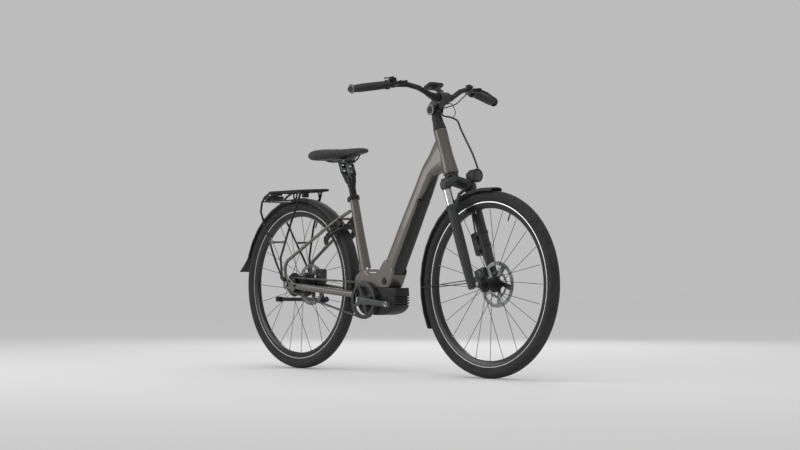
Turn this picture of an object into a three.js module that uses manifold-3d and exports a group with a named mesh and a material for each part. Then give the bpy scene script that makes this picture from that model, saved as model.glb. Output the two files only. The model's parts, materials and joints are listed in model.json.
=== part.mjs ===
import * as THREE from 'three';
import { mergeVertices } from 'three/addons/utils/BufferGeometryUtils.js';
import Module from 'manifold-3d';

// Low-step city e-bike: X forward, Y to its left, Z up, millimetres and degrees, ground at Z = 0.
// The pieces are placed from the point on the ground below the rear axle.

// Layout
const WHEELBASE = 1168;
const RIM_RADIUS = 317;
const TYRE_HEIGHT = 43;
const TYRE_RADIUS = RIM_RADIUS + TYRE_HEIGHT;
const BB_X = 485;
const BB_HEIGHT = 295;
const SEAT_TOP_X = 354;
const SEAT_TOP_HEIGHT = 729;
const SEAT_ANGLE = 75.5;
const HEAD_ANGLE = 70;
const FORK_OFFSET = 54;
const HEAD_LOW = 480;
const HEAD_LENGTH = 190;
const CHAIN_Y = -53;
const GAP = 0.3;
const OVERRUN = 5;
const THROUGH = 200;

// Wheels
const WHEEL_SEGMENTS = 26;
const TYRE_WIDTH = 50;
const TYRE_SHARES = [[0.47, 1], [0.84, 0.82], [1, 0.52]];
const RIM_WIDTH = 27;
const RIM_BED_SHARE = 0.8;
const RIM_DEPTH = 24;
const RIM_WALL = 2.2;
const BEAD_DEPTH = 7;
const SPOKE_PAIRS = 12;
const SPOKE_DIAMETER = 2.6;
const NIPPLE_Y = 1.5;
const AXLE_DIAMETER = 12;
const AXLE_HEAD_DIAMETER = 18;
const AXLE_HEAD_THICKNESS = 6;
const BEARING_GAP = 0.4;
const FRONT_HUB_WIDTH = 92;
const FRONT_HUB_DIAMETER = 34;
const FRONT_FLANGE_DIAMETER = 62;
const FRONT_FLANGE_Y = 26;
const REAR_HUB_WIDTH = 126;
const REAR_HUB_DIAMETER = 88;
const REAR_FLANGE_DIAMETER = 102;
const REAR_FLANGE_Y = 34;
const REAR_NECK_DIAMETER = 61;
const REAR_DRIVER_NECK = 42;
const FLANGE_THICKNESS = 6;

// Brake discs
const ROTOR_DIAMETER = 180;
const ROTOR_TRACK = 15;
const ROTOR_THICKNESS = 1.8;
const ROTOR_WINDOWS = 5;
const FRONT_ROTOR_Y = 39;
const REAR_ROTOR_Y = 57;
const SENSOR_RING_DIAMETER = 104;
const SENSOR_RING_BAND = 9;
const SENSOR_RING_THICKNESS = 1.2;
const CALIPER_CORNER = 8;
const CALIPER_EDGE = 2;
const CALIPER_INNER = 12;
const CALIPER_OUTER = 13.7;
const CALIPER_SLOT = 5;
const REAR_CALIPER = [44, 92, 4, 68];
const FRONT_CALIPER = [-94, -38, 46.5, 88];

// Drive
const CHAIN_PITCH = 12.7;
const CHAIN_WIDTH = 8;
const CHAIN_PLATE = 4.2;
const CHAIN_WAIST = 3.1;
const CHAIN_SLOT = 4;
const RING_TEETH = 36;
const SPROCKET_TEETH = 15;
const TOOTH_DEPTH = 3.4;
const TOOTH_SHARES = [[-0.12, 0.5], [0.12, 0.5], [0.5, -0.5]];
const SPROCKET_THICKNESS = 2.4;
const SPROCKET_BORE = 22;
const DRIVER_DIAMETER = 40;
const DRIVER_OVERHANG = 2;
const SPIDER_ARMS = 4;
const SPIDER_ARM_WIDTH = 13;
const SPIDER_BOSS = 40;
const RING_BAND = 12;
const GUARD_RING_REACH = 3;
const GUARD_RING_THICKNESS = 2.5;
const GUARD_RING_OFFSET = 6.2;
const CRANK_LENGTH = 170;
const CRANK_ANGLE = -4.8;
const CRANK_BOSS = 34;
const CRANK_THICKNESS = 13;
const CRANK_FLARE = 6;
const CRANK_INNER_Y = 66;
const CRANK_STATIONS = [[-0.02, 24, 0], [0.12, 34, 0], [0.35, 28, 0.3], [0.75, 24, 0.8], [0.92, 24, 1], [1, 20, 1]];
const PEDAL_BORE = 14.3;
const PEDAL_EYE = 27;
const PEDAL_EYE_WIDTH = 14;
const SPINDLE_DIAMETER = 22;

// Frame: outlines are [x, z, corner radius] from the crank axis, and from the rear axle for the dropout.
const HEAD_TUBE_DIAMETER = 56;
const HEAD_WAIST_DIAMETER = 54;
const HEAD_LOW_DIAMETER = 63;
const HEAD_BORE = 45;
const DOWN_FOOT_AHEAD = 111;
const DOWN_FOOT_ABOVE = 95;
const DOWN_END_BEHIND = 52;
const DOWN_WIDTH = 82;
const DOWN_DEPTH = 74;
const DOWN_SHARES = [[-0.1, 0.98, 1], [0.1, 1, 1], [0.42, 0.95, 0.98], [0.72, 0.8, 0.95], [0.87, 0.72, 1]];
const FLARE_SHARES = [[0.45, 0.96, 0.24], [0.75, 0.94, 0.6], [1, 0.92, 1]];
const HEAD_JOINT_HEIGHT = 168;
const SEAT_TUBE_DIAMETER = 38;
const SEAT_FOOT_WIDTH = 46;
const SEAT_FOOT_DEPTH = 56;
const SEAT_TUBE_SHARES = [[0, 0, 0], [0.1, 0, 0], [0.45, 0.25, 0.2], [0.85, 1, 0.85], [1, 1, 1]];
const SEAT_BORE = 30.9;
const SHELL_WIDTH = 80;
const SHELL_EDGE = 6;
const SHELL_FLOOR = 52;
const SHELL_OUTLINE = [[-81, 12, 8], [-81, 101, 20], [-20, 137, 40], [4, 111, 30], [60, 111, 24], [111, 173, 20],
  [173, 123, 20], [135, 52, 10], [0, 12, 0]];
const COVER_ROOM = 10;
const DROPOUT_INNER_Y = 71;
const DROPOUT_THICKNESS = 8;
const DROPOUT_OUTLINE = [[-21, -21, 12], [50, -19, 6], [52, 8, 6], [10, 26, 10], [-12, 34, 6], [-28, 28, 8]];
const CHAINSTAY_HEIGHT = 30;
const CHAINSTAY_WIDTH = 22;
const CHAINSTAY_FRONT = [-81.5, 24];
const CHAINSTAY_BACK = [40, -5];
const CHAINSTAY_STATIONS = [[0, 37, 1, 1], [0.2, 45, 1, 1], [0.82, 68, 0.72, 1], [1, 72, 0.5, 0.8]];
const CHAINSTAY_BRIDGE = 16;
const SEATSTAY_DIAMETER = 15;
const SEATSTAY_DROP = 60;
const SEATSTAY_SET_BACK = 13;
const SEATSTAY_ELBOW = [-14, 96];
const SEATSTAY_STATIONS = [[0, 17], [0.15, 37], [0.27, 46], [1, 72]];
const SEATSTAY_FOOT = [[-22, 60], [-8, 14]];
const SEATSTAY_BEND = 14;
const SEATSTAY_BRIDGE = 12;
const CLAMP_HEIGHT = 17;
const CLAMP_WALL = 4.5;
const CLAMP_LUG = [14, 18];
const CLAMP_SLIT = 2;

// Motor
const MOTOR_RADIUS = 60;
const MOTOR_WIDTH = 72;
const MOTOR_NOSE = 181;
const MOTOR_COVER_THICKNESS = 5;
const MOTOR_COVER_EDGE = 3;
const FIN_COUNT = 4;
const FIN_GROOVE = 4;
const FIN_STEP = 10.4;
const FIN_DEPTH = 12;

// Battery
const BATTERY_LENGTH = 330;
const BATTERY_WIDTH = 58;
const BATTERY_DEPTH = 48;
const BATTERY_START = 34;
const POCKET_GAP = 2;
const BATTERY_SWING_ROOM = 6;
const BATTERY_COVER_THICKNESS = 5;
const CAP_DIAMETER = 26;
const CAP_THICKNESS = 3;
const CAP_PLACE = [111, 77];
const CAP_TAB = [8, 6];
const PORT_DIAMETER = 18;
const PORT_DEPTH = 7;

// Mudguards
const GUARD_CLEARANCE = 15;
const GUARD_RADIUS = TYRE_RADIUS + GUARD_CLEARANCE;
const GUARD_SKIN = 2;
const GUARD_DROP = 15;
const GUARD_WIDTH = 62;
const GUARD_SHARES = [[1, 1], [0.8, 0.2], [0, 0]];
const REAR_GUARD_ANGLES = [-6, 160];
const FRONT_GUARD_ANGLES = [84, 208];
const FLAP_ANGLE = 12;
const FLAP_THICKNESS = 3;
const FLAP_FLARE = 33;
const FLAP_WIDENING = 0.12;
const STAY_WIRE = 4;
const STAY_WIRE_ANGLE = 182;
const STAY_WIRE_FOOT = [8, 62, 34];

// Rack: points are [x, y, z] from the rear axle, along its left half.
const RACK_TUBE = 10;
const RACK_THIN_TUBE = 8;
const RACK_BEND = 26;
const RACK_HALF_WIDTH = 58;
const RACK_HEIGHT = 402;
const RACK_FOOT = [-28, 82, 32];
const RACK_BOLT = [-10, 20];
const RACK_TAB_RADIUS = 8;
const RACK_LOOP = [[182, 0, 402], [172, 14, 402], [84, 54, 402], [-165, 58, 402], [-222, 58, 340], [-84, 80, 115]];
const RACK_FRONT_LEG = [[72, 56, 402], [2, 66, 243], [-42, 79, 115]];
const RACK_BRACE = [[-128, 73, 183], [-20, 72, 183]];
const PANNIER_RAIL = [[-128, 58, 402], [-128, 65, 362], [48, 65, 362], [48, 58, 402]];
const PANNIER_BEND = 10;
const RACK_BARS = [-153, -60, 42];
const RACK_HANGER = [18, 24, 26];
const RACK_HANGER_X = 30;
const RACK_PLATE = [70, 30, 5];
const RACK_PLATE_X = 10;
const RACK_TONGUE = [52, 26];
const RACK_TONGUE_X = -176;
const TAIL_LIGHT_WIDTH = 84;
const TAIL_LIGHT_OUTLINE = [[-176, 390, 3], [-176, 358, 3], [-202, 364, 6], [-206, 386, 6]];

// Frame lock
const LOCK_SPOKE_GAP = 2.5;
const LOCK_RISE = 18;
const LOCK_RADIUS = RIM_RADIUS + LOCK_RISE;
const LOCK_INNER = 57;
const LOCK_OUTER = 74;
const LOCK_DEPTH = 22;
const LOCK_EDGE = 3;
const LOCK_MOUTH = 135;
const LOCK_SLIT = 6;
const LOCK_EAR = 16;
const LOCK_EAR_Y = 37;
const LOCK_EAR_REACH = 38;
const SHACKLE_RADIUS = 65.5;
const SHACKLE_DIAMETER = 7;
const SHACKLE_ROOM = 10;
const SHACKLE_SPAN = [-133, -18];
const SHACKLE_LEVER = 4;
const SHACKLE_LEVER_REACH = 11;

// Kickstand: its place is from the rear axle.
const STAND_PLACE = [44, 93, -68];
const STAND_SPLAY = 16.7;
const STAND_LENGTH = 342;
const STAND_KNUCKLE = 13;
const STAND_KNUCKLE_WIDTH = 18;
const STAND_HUB_WIDTH = 11;
const STAND_TUBE = 17;
const STAND_SHOE = 25;
const STAND_SHOE_LENGTH = 32;
const STAND_PLATE_THICKNESS = 6;
const STAND_PLATE_TOP = [36, -6, 14];
const STAND_PLATE_END = 11;

// Fork: places are along and from the steering axis, level with the front axle.
const LEG_SPACING = 132;
const LEG_OFFSET = 22;
const STANCHION_DIAMETER = 32;
const STANCHION_FOOT = 186;
const LEG_DIAMETER = 41;
const LEG_TOP = 336;
const LEG_FOOT_Z = -6;
const LEG_SHARES = [[0.72, 0], [0.86, 0.13], [1, 0.4]];
const LEG_COLLAR = 1.5;
const LEG_COLLAR_HEIGHT = 12;
const FORK_TRAVEL = 50;
const CROWN_STATIONS = [[1.28, 423, 32, 34], [1, 423, 46, 46], [0, 455, 54, 36]];
const CROWN_BOTTOM = 437;
const STANCHION_TOP = 449;
const RACE_HEIGHT = 12;
const STEERER_DIAMETER = 28.6;
const STEERER_TOP = 734;
const FORK_DROPOUT_THICKNESS = 12;
const FORK_DROPOUT_RADIUS = 15;
const FORK_DROPOUT_TOP = [22, 34, 12];
const ARCH_DIAMETER = 15;
const ARCH_PEAK = 385;
const ARCH_POINTS = [[30, 66, 306], [46, 62, 330], [60, 46, 370], [66, 22, 385]];
const ARCH_TAB = [12, 20, 12];
const ARCH_TAB_Z = 380.5;

// Brake control unit, lamp
const ABS_CENTRE = [-32, 86, 200];
const ABS_SIZE = [40, 42, 92];
const ABS_EDGE = 6;
const ABS_NECK = 8;
const ABS_STRAPS = [-26, 26];
const ABS_STRAP_WIDTH = 12;
const ABS_STRAP_WALL = 3;
const LAMP_DIAMETER = 54;
const LAMP_LENGTH = 52;
const LAMP_SHARES = [[0.6, 0], [0.92, 0.35], [1, 1]];
const LAMP_PLACE = [-116, 422];
const LAMP_BRACKET = [8, 10, 9];
const LAMP_BRACKET_TOP = [-102, 406];
const LAMP_BRACKET_FOOT = [78, 391];

// Stem and handlebar
const COVER_HEIGHT = 56;
const COVER_WAIST = 0.6;
const COVER_TOP_DIAMETER = 42;
const STEM_PIVOT = 758;
const BARREL_DIAMETER = 44;
const BARREL_BORE = 18;
const BARREL_NECK = 3;
const CHEEK_INNER = 13;
const CHEEK_OUTER = 25;
const STEM_HOLLOW = 15;
const STEM_EYE = 22;
const STEM_WAIST = [[0.5, -22, 13], [0.95, -36, 13]];
const STEM_REACH = [47, 46];
const STEM_SWING = 17;
const STEM_SWING_RADII = [17, 28];
const BAR_CLAMP_DIAMETER = 31.8;
const BAR_DIAMETER = 22.2;
const BAR_POINTS = [[0, 0, 0], [0, 38, 0], [-6, 64, 9], [-22, 115, 34], [-38, 155, 44], [-72, 222, 42], [-104, 382, 16]];
const GRIP_DIAMETER = 34;
const GRIP_SHARES = [[0.02, 1.05, 1], [0.08, 0.94, 0.96], [0.45, 1.02, 1], [0.75, 1.25, 1], [0.96, 1.5, 0.86],
  [1.04, 1.3, 0.7]];
const GRIP_CLEARANCE = 1.2;

// Controls: points are [along the grip, forwards, upwards] from the grip's inner end, and the brake blade's
// stations add its thickness and height.
const CONTROL_CLAMP = [-26, -12];
const CONTROL_CLAMP_WALL = 5;
const BRACKET_POINTS = [[-19, 8, 0], [-21, 30, 0], [-20, 62, 0]];
const BRACKET_WIDTHS = [22, 20, 20];
const MASTER_POINTS = [[-26, 26, 0], [-62, 40, 0]];
const MASTER_DIAMETER = 17;
const SHELF_CORNERS = [[-30, -8], [-6, -8], [-6, 14], [-30, 14]];
const SHELF_HEIGHTS = [10, 24];
const LEVER_PIN = [-20, 56];
const LEVER_PIN_DIAMETER = 5;
const LEVER_ROOM_DIAMETER = 28;
const LEVER_ROOM_HEIGHT = 13;
const BLADE_STATIONS = [[-27, 56, 0, 11, 12], [-13, 58, 0, 11, 12], [28, 64, -3, 7.6, 12], [62, 58, -6, 7.6, 14],
  [86, 58, -9, 7.6, 13], [92, 60, -9, 7, 8]];
const SWITCH_CENTRE = [-18, 3];
const SWITCH_HEIGHT = 5;
const SWITCH_HUB = 16;
const PADDLE_CENTRE = [4, -14];
const PADDLE_DIAMETER = 12;
const PADDLE_STALK = 5;
const BUTTON_DIAMETER = 14;
const BUTTON_HEIGHT = 3;
const BUTTON_WELL = 1.3;

// Display: its place is from the middle of the handlebar.
const DISPLAY_PLACE = [-55, 49];
const DISPLAY_SIZE = [50, 78, 13];
const DISPLAY_TILT = 24;
const DISPLAY_RINGS = [[-0.5, -6], [-0.2, 0], [0.35, 0], [0.5, -3]];
const DISPLAY_FOOT = [[-49, 45, 7], [-12, 22, 8]];
const DISPLAY_FOOT_HALF = 9;

// Hoses: hand-chosen points in the steering group, from inside the stem down to the brake control unit
const HOSE_DIAMETER = 7;
const HOSE_UPPER = [[32.4, 0, 755.5], [26.5, 1, 738], [33, 6, 718], [56, 17, 703], [76, 29, 680], [75, 38, 645], [81, 47, 588],
  [87, 54, 540], [84, 64, 496], [64, 84, 470], [30, 95, 462], [1, 87, 455], [-9, 69, 432]];
const HOSE_LOWER = [[-9, 70, 426], [-12, 76, 380], [-26, 84, 310], [-34, 86, 246.8]];

// Seatpost: its pins are [x, z] from the top of the seat tube.
const POST_DIAMETER = 30.2;
const POST_INSERT = 150;
const POST_SHOULDER = 40;
const POST_BODY_DIAMETER = 36;
const POST_BODY_HEIGHT = 36;
const POST_CHAMFER = 4;
const PIN_FRONT = [-8, 93];
const PIN_REAR = [-58, 102];
const LINK_REACH = [-17, 41];
const LINK_PIN = 8;
const LINK_RADIUS = 8;
const LINK_CHEEK = 4.5;
const LINK_HOLLOW = 18;
const HEAD_PLATE_WIDTH = 22;
const HEAD_PLATE = [[5, 53, 8], [1, 100, 6], [-17, 101, 3], [-26, 89, 4], [-42, 90, 4], [-49, 106, 4], [-64, 107, 5],
  [-66, 95, 5], [-34, 51, 10]];
const CLAMP_PLATE_MARGIN = 9;
const CLAMP_PLATE_DROP = 5;
const CLAMP_NOTCH = [[9, -6, 1], [14, -1, 2], [33, -1, 2], [38, -13, 1]];
const JAW_SIZE = [35, 60, 11];
const JAW_SET_BACK = 41;
const JAW_X = SEAT_TOP_X - JAW_SET_BACK;
const RAIL_RISE = 148;
const RAIL_HEIGHT = SEAT_TOP_HEIGHT + RAIL_RISE;

// Saddle: shares of its length, width and height
const SADDLE_SET_BACK = 202;
const SADDLE_HEIGHT = 36;
const SADDLE_CLEARANCE = 13;
const SADDLE_REAR_X = SEAT_TOP_X - SADDLE_SET_BACK;
const SADDLE_LENGTH = 285;
const SADDLE_WIDTH = 214;
const SADDLE_BOTTOM = RAIL_HEIGHT + SADDLE_CLEARANCE;
const SADDLE_TOP = SADDLE_BOTTOM + SADDLE_HEIGHT;
const SADDLE_SHARES = [[0, 0.45, 0.55, 0.25], [0.03, 0.8, 0.8, 0.1], [0.12, 0.98, 0.97, 0], [0.24, 1, 1, 0],
  [0.38, 0.83, 0.93, 0.02], [0.52, 0.55, 0.88, 0.2], [0.68, 0.35, 0.9, 0.4], [0.84, 0.25, 0.93, 0.52],
  [0.95, 0.19, 0.9, 0.6], [1, 0.1, 0.8, 0.66]];
const SADDLE_SECTION_SHARES = [[0.86, 0], [0.95, 0.15], [1, 0.45], [0.87, 0.76], [0.55, 0.96], [0.24, 1], [0.08, 0.93]];
const BASE_INSET = 12;
const BASE_THICKNESS = 3;
const RAIL_SPACING = 44;
const RAIL_DIAMETER = 7;
const RAIL_BEND = 14;
const RAIL_RUN = [-80, 32];
const RAIL_STRAIGHT = RAIL_RUN.map((run) => JAW_X + run);
const RAIL_REAR = [0.2, 30];
const RAIL_FRONT = [0.82, 8];
const RAIL_SINK = 6;

// Looks
const TAUPE = { color: 0x6d645e, roughness: 0.38, metalness: 0.6 };
const BLACK_METAL = { color: 0x202123, roughness: 0.42, metalness: 0.5 };
const BLACK_PLASTIC = { color: 0x1b1b1d, roughness: 0.6, metalness: 0 };
const DARK_ALLOY = { color: 0x4b4f50, roughness: 0.4, metalness: 0.8 };
const BRIGHT_ALLOY = { color: 0xb8bbbd, roughness: 0.28, metalness: 0.9 };
const STEEL = { color: 0x8f9396, roughness: 0.35, metalness: 0.9 };
const RUBBER = { color: 0x17171a, roughness: 0.85, metalness: 0 };
const FOAM = { color: 0x1d1d20, roughness: 0.7, metalness: 0 };
const RED_LENS = { color: 0x7c1016, roughness: 0.2, metalness: 0 };
const GREY_PAINT = { color: 0x8a8c8e, roughness: 0.45, metalness: 0.4 };

const rad = THREE.MathUtils.degToRad;
const lerp = THREE.MathUtils.lerp;
const at = (x, y, z) => new THREE.Vector3(x, y, z);
const SIDES = [['left', 1], ['right', -1]];

const wasm = await Module();
wasm.setup();

// Group tree: the outer group moves the ground point to the middle of the bicycle's length.
const flapAngle = 180 - REAR_GUARD_ANGLES[1] - FLAP_ANGLE;
const rearReach = (GUARD_RADIUS + FLAP_FLARE) * Math.cos(rad(flapAngle));
const group = new THREE.Group();
const bike = new THREE.Group();
bike.position.x = (rearReach - WHEELBASE - TYRE_RADIUS) / 2;
group.add(bike);

// The steering axis is the local Z of this group, with the front axle at its local FORK_OFFSET.
const steering = new THREE.Group();
const rake = rad(90 - HEAD_ANGLE);
steering.position.set(WHEELBASE - FORK_OFFSET * Math.cos(rake), 0, TYRE_RADIUS - FORK_OFFSET * Math.sin(rake));
steering.rotation.y = -rake;
bike.add(steering);

// The seat tube's axis is the local Z of this group, from the top of the tube.
const seat = new THREE.Group();
seat.position.set(SEAT_TOP_X, 0, SEAT_TOP_HEIGHT);
seat.rotation.y = -rad(90 - SEAT_ANGLE);
bike.add(seat);

const crankset = new THREE.Group();
crankset.position.set(BB_X, 0, BB_HEIGHT);
bike.add(crankset);

const rearWheel = new THREE.Group();
rearWheel.position.set(0, 0, TYRE_RADIUS);
bike.add(rearWheel);

const frontWheel = new THREE.Group();
frontWheel.position.set(WHEELBASE, 0, TYRE_RADIUS);
bike.add(frontWheel);
group.updateMatrixWorld(true);

// A body or point moved between two groups of the tree
function moved(from, to, thing) {
  const matrix = to.matrixWorld.clone().invert().multiply(from.matrixWorld);
  if (thing.isVector3) return thing.clone().applyMatrix4(matrix);
  return thing.isBufferGeometry ? thing.applyMatrix4(matrix) : thing.transform(matrix.elements);
}

function solidOf(body) {
  if (!body.isBufferGeometry) return body;
  const bare = body.clone();
  for (const key of Object.keys(bare.attributes)) {
    if (key !== 'position') bare.deleteAttribute(key);
  }
  const merged = mergeVertices(bare, 1e-4);
  return new wasm.Manifold(new wasm.Mesh({
    numProp: 3,
    vertProperties: new Float32Array(merged.attributes.position.array),
    triVerts: new Uint32Array(merged.index.array),
  }));
}

function geometryOf(solid) {
  const mesh = solid.getMesh();
  const geometry = new THREE.BufferGeometry();
  geometry.setAttribute('position', new THREE.BufferAttribute(mesh.vertProperties, 3));
  geometry.setIndex(new THREE.BufferAttribute(mesh.triVerts, 1));
  return geometry;
}

const joined = (bodies) => bodies.map(solidOf).reduce((sum, body) => sum.add(body));
const cut = (body, ...tools) => tools.map(solidOf).reduce((rest, tool) => rest.subtract(tool), solidOf(body));

function piece(parent, name, body, look) {
  const geometry = body.isBufferGeometry ? body : geometryOf(body);
  const mesh = new THREE.Mesh(geometry, new THREE.MeshStandardMaterial(look));
  mesh.name = name;
  parent.add(mesh);
}

// A closed body through rings of equal count, with flat ends
function loft(rings) {
  const count = rings[0].length;
  const points = rings.flat();
  const faces = [];
  for (let r = 0; r + 1 < rings.length; r += 1) {
    for (let i = 0; i < count; i += 1) {
      const j = (i + 1) % count;
      const a = r * count;
      const b = a + count;
      faces.push([a + i, a + j, b + j], [a + i, b + j, b + i]);
    }
  }
  for (const [start, flip] of [[0, true], [points.length - count, false]]) {
    const ring = points.slice(start, start + count);
    const normal = new THREE.Vector3();
    ring.forEach((p, i) => normal.add(new THREE.Vector3().crossVectors(p, ring[(i + 1) % count])));
    const u = new THREE.Vector3().subVectors(ring[1], ring[0]).normalize();
    const v = new THREE.Vector3().crossVectors(normal, u).normalize();
    const flat = ring.map((p) => new THREE.Vector2(p.dot(u), p.dot(v)));
    for (const [a, b, c] of THREE.ShapeUtils.triangulateShape(flat, [])) {
      const turn = (flat[b].x - flat[a].x) * (flat[c].y - flat[a].y)
        - (flat[b].y - flat[a].y) * (flat[c].x - flat[a].x);
      const face = turn > 0 ? [a, b, c] : [a, c, b];
      if (flip) face.reverse();
      faces.push(face.map((k) => k + start));
    }
  }
  const geometry = new THREE.BufferGeometry().setFromPoints(points);
  const volume = faces.reduce((sum, [a, b, c]) => sum
    + points[a].dot(new THREE.Vector3().crossVectors(points[b], points[c])), 0);
  if (volume < 0) faces.forEach((face) => face.reverse());
  geometry.setIndex(faces.flat());
  return geometry;
}

// Points of a rounded section: a superellipse, where power 2 is an ellipse and more is squarer
function rounded(width, depth, sides, power = 2) {
  return Array.from({ length: sides }, (_, i) => {
    const angle = ((i + 0.5) / sides) * 2 * Math.PI;
    const share = (value) => Math.sign(value) * Math.abs(value) ** (2 / power);
    return [share(Math.cos(angle)) * width / 2, share(Math.sin(angle)) * depth / 2];
  });
}

// A ring across an upright lengthwise plane: its width lies along Y, its depth along the given tilt
const uprightRing = (x, y, z, tilt, section) => section.map(([u, v]) => at(
  x + v * Math.cos(rad(tilt)), y + u, z + v * Math.sin(rad(tilt))));

// Rings square to a path of points
function ringsAlong(path, sectionAt) {
  const tangents = path.map((p, i) => {
    const before = path[Math.max(i - 1, 0)];
    const after = path[Math.min(i + 1, path.length - 1)];
    const incoming = new THREE.Vector3().subVectors(p, before).normalize();
    const outgoing = new THREE.Vector3().subVectors(after, p).normalize();
    return incoming.add(outgoing).normalize();
  });
  let side = at(0, 1, 0);
  if (Math.abs(tangents[0].y) > 0.9) side = at(1, 0, 0);
  return path.map((p, i) => {
    side = side.clone().addScaledVector(tangents[i], -side.dot(tangents[i])).normalize();
    const other = new THREE.Vector3().crossVectors(tangents[i], side);
    return sectionAt(i).map(([u, v]) => p.clone().addScaledVector(side, u).addScaledVector(other, v));
  });
}

const pipe = (path, diameter, sides = 10) => loft(ringsAlong(path, () => rounded(diameter, diameter, sides)));

// A path whose inner corners are rounded by short arcs
function bent(corners, radius, steps = 1) {
  const path = [corners[0]];
  for (let i = 1; i + 1 < corners.length; i += 1) {
    const back = new THREE.Vector3().subVectors(corners[i - 1], corners[i]);
    const forth = new THREE.Vector3().subVectors(corners[i + 1], corners[i]);
    const reach = Math.min(radius, back.length() / 2, forth.length() / 2);
    const curve = new THREE.QuadraticBezierCurve3(
      corners[i].clone().addScaledVector(back.normalize(), reach), corners[i],
      corners[i].clone().addScaledVector(forth.normalize(), reach));
    path.push(...curve.getPoints(steps));
  }
  path.push(corners[corners.length - 1]);
  return path;
}

// An outline in the XZ plane given by corners [x, z, radius], measured from a place
function outline(corners, [originX, originZ] = [0, 0]) {
  const shape = new THREE.Shape();
  const count = corners.length;
  const points = corners.map(([x, z]) => new THREE.Vector2(originX + x, originZ + z));
  points.forEach((corner, i) => {
    const before = points[(i + count - 1) % count].clone().sub(corner);
    const after = points[(i + 1) % count].clone().sub(corner);
    const reach = Math.min(corners[i][2], before.length() / 2, after.length() / 2);
    const start = corner.clone().addScaledVector(before.normalize(), reach);
    const end = corner.clone().addScaledVector(after.normalize(), reach);
    if (i === 0) shape.moveTo(start.x, start.y);
    else shape.lineTo(start.x, start.y);
    if (reach > 0) shape.quadraticCurveTo(corner.x, corner.y, end.x, end.y);
  });
  shape.closePath();
  return shape;
}

// A slab of an XZ outline between two Y values, in either order
function slab(shape, y0, y1, segments = 6, bevel = 0) {
  const geometry = new THREE.ExtrudeGeometry(shape, {
    depth: Math.abs(y1 - y0) - 2 * bevel, curveSegments: segments, bevelEnabled: bevel > 0,
    bevelThickness: bevel, bevelSize: bevel, bevelOffset: -bevel, bevelSegments: 1,
  });
  return geometry.rotateX(Math.PI / 2).translate(0, Math.max(y0, y1) - bevel, 0);
}

// The outline around two round ends
function strap(ax, az, ra, bx, bz, rb, steps = 4) {
  const along = Math.atan2(bz - az, bx - ax);
  const lean = Math.acos((ra - rb) / Math.hypot(bx - ax, bz - az));
  const arc = (x, z, radius, from, sweep) => Array.from({ length: steps + 1 }, (_, i) => new THREE.Vector2(
    x + radius * Math.cos(from + sweep * i / steps), z + radius * Math.sin(from + sweep * i / steps)));
  return new THREE.Shape([...arc(ax, az, ra, along + lean, 2 * (Math.PI - lean)),
    ...arc(bx, bz, rb, along - lean, 2 * lean)]);
}

// A body turned about Y from [radius, y] points, in either order round the section
function turnedY(profile, segments, start = 0) {
  const points = profile.map(([r, y]) => new THREE.Vector2(r, y));
  if (THREE.ShapeUtils.area(points) < 0) points.reverse();
  return new THREE.LatheGeometry(points, segments, start);
}
const turnedZ = (profile, segments) => turnedY(profile, segments).rotateX(Math.PI / 2);
const ringProfile = (inner, outer, low, high) => [
  [inner, low], [outer, low], [outer, high], [inner, high], [inner, low]];
const rodProfile = (radius, low, high) => [[0, low], [radius, low], [radius, high], [0, high]];
const rodY = (x, z, radius, low, high, segments = 12) => turnedY(rodProfile(radius, low, high), segments)
  .translate(x, 0, z);
const boreY = (x, z, radius, segments = 12) => rodY(x, z, radius, -THROUGH, THROUGH, segments);
const block = ([sx, sy, sz], x, y, z) => new THREE.BoxGeometry(sx, sy, sz).translate(x, y, z);
const fromAxle = (side) => ([x, y, z]) => at(x, side * y, TYRE_RADIUS + z);

// Down tube: straight from the crank shell, then flared into the whole height of the head tube
const axisPoint = (behind, height) => moved(steering, bike, at(-behind, 0, height));
const downLow = at(BB_X + DOWN_FOOT_AHEAD, 0, BB_HEIGHT + DOWN_FOOT_ABOVE);
const downHigh = axisPoint(DOWN_END_BEHIND, HEAD_LOW + HEAD_LENGTH * 0.55);
const downLength = downLow.distanceTo(downHigh);
const downAngle = Math.atan2(downHigh.z - downLow.z, downHigh.x - downLow.x);
const alongDown = (distance, across = 0) => [
  downLow.x + distance * Math.cos(downAngle) + across * Math.sin(downAngle),
  downLow.z + distance * Math.sin(downAngle) - across * Math.cos(downAngle)];

function downTube(grow = 0) {
  const tilt = THREE.MathUtils.radToDeg(downAngle) - 90;
  const rings = DOWN_SHARES.map(([share, wide, deep]) => {
    const [x, z] = alongDown(share * downLength);
    return uprightRing(x, 0, z, tilt, rounded(DOWN_WIDTH * wide + grow, DOWN_DEPTH * deep + grow, 16, 3.2));
  });
  const [lastShare, lastWide] = DOWN_SHARES[DOWN_SHARES.length - 1];
  const [startX, startZ] = alongDown(lastShare * downLength);
  const end = axisPoint(0, HEAD_LOW + HEAD_LENGTH / 2);
  for (const [share, wide, rise] of FLARE_SHARES) {
    rings.push(uprightRing(lerp(startX, end.x, share), 0, lerp(startZ, end.z, share), lerp(tilt, -HEAD_ANGLE, share),
      rounded(lerp(DOWN_WIDTH * lastWide, HEAD_TUBE_DIAMETER * wide, share) + grow,
        lerp(DOWN_DEPTH, HEAD_JOINT_HEIGHT, rise) + grow, 16, 3.2)));
  }
  return loft(rings);
}

const seatPoint = (down, across = 0) => moved(seat, bike, at(across, 0, -down));
function seatTube(grow = 0) {
  const length = (SEAT_TOP_HEIGHT - BB_HEIGHT - SHELL_FLOOR) / Math.sin(rad(SEAT_ANGLE));
  return loft(SEAT_TUBE_SHARES.map(([share, widen, deepen]) => {
    const centre = seatPoint(share * length);
    const width = lerp(SEAT_TUBE_DIAMETER, SEAT_FOOT_WIDTH, widen);
    const depth = lerp(SEAT_TUBE_DIAMETER, SEAT_FOOT_DEPTH, deepen);
    return uprightRing(centre.x, 0, centre.z, 90 - SEAT_ANGLE, rounded(width + grow, depth + grow, 16));
  }));
}

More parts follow.
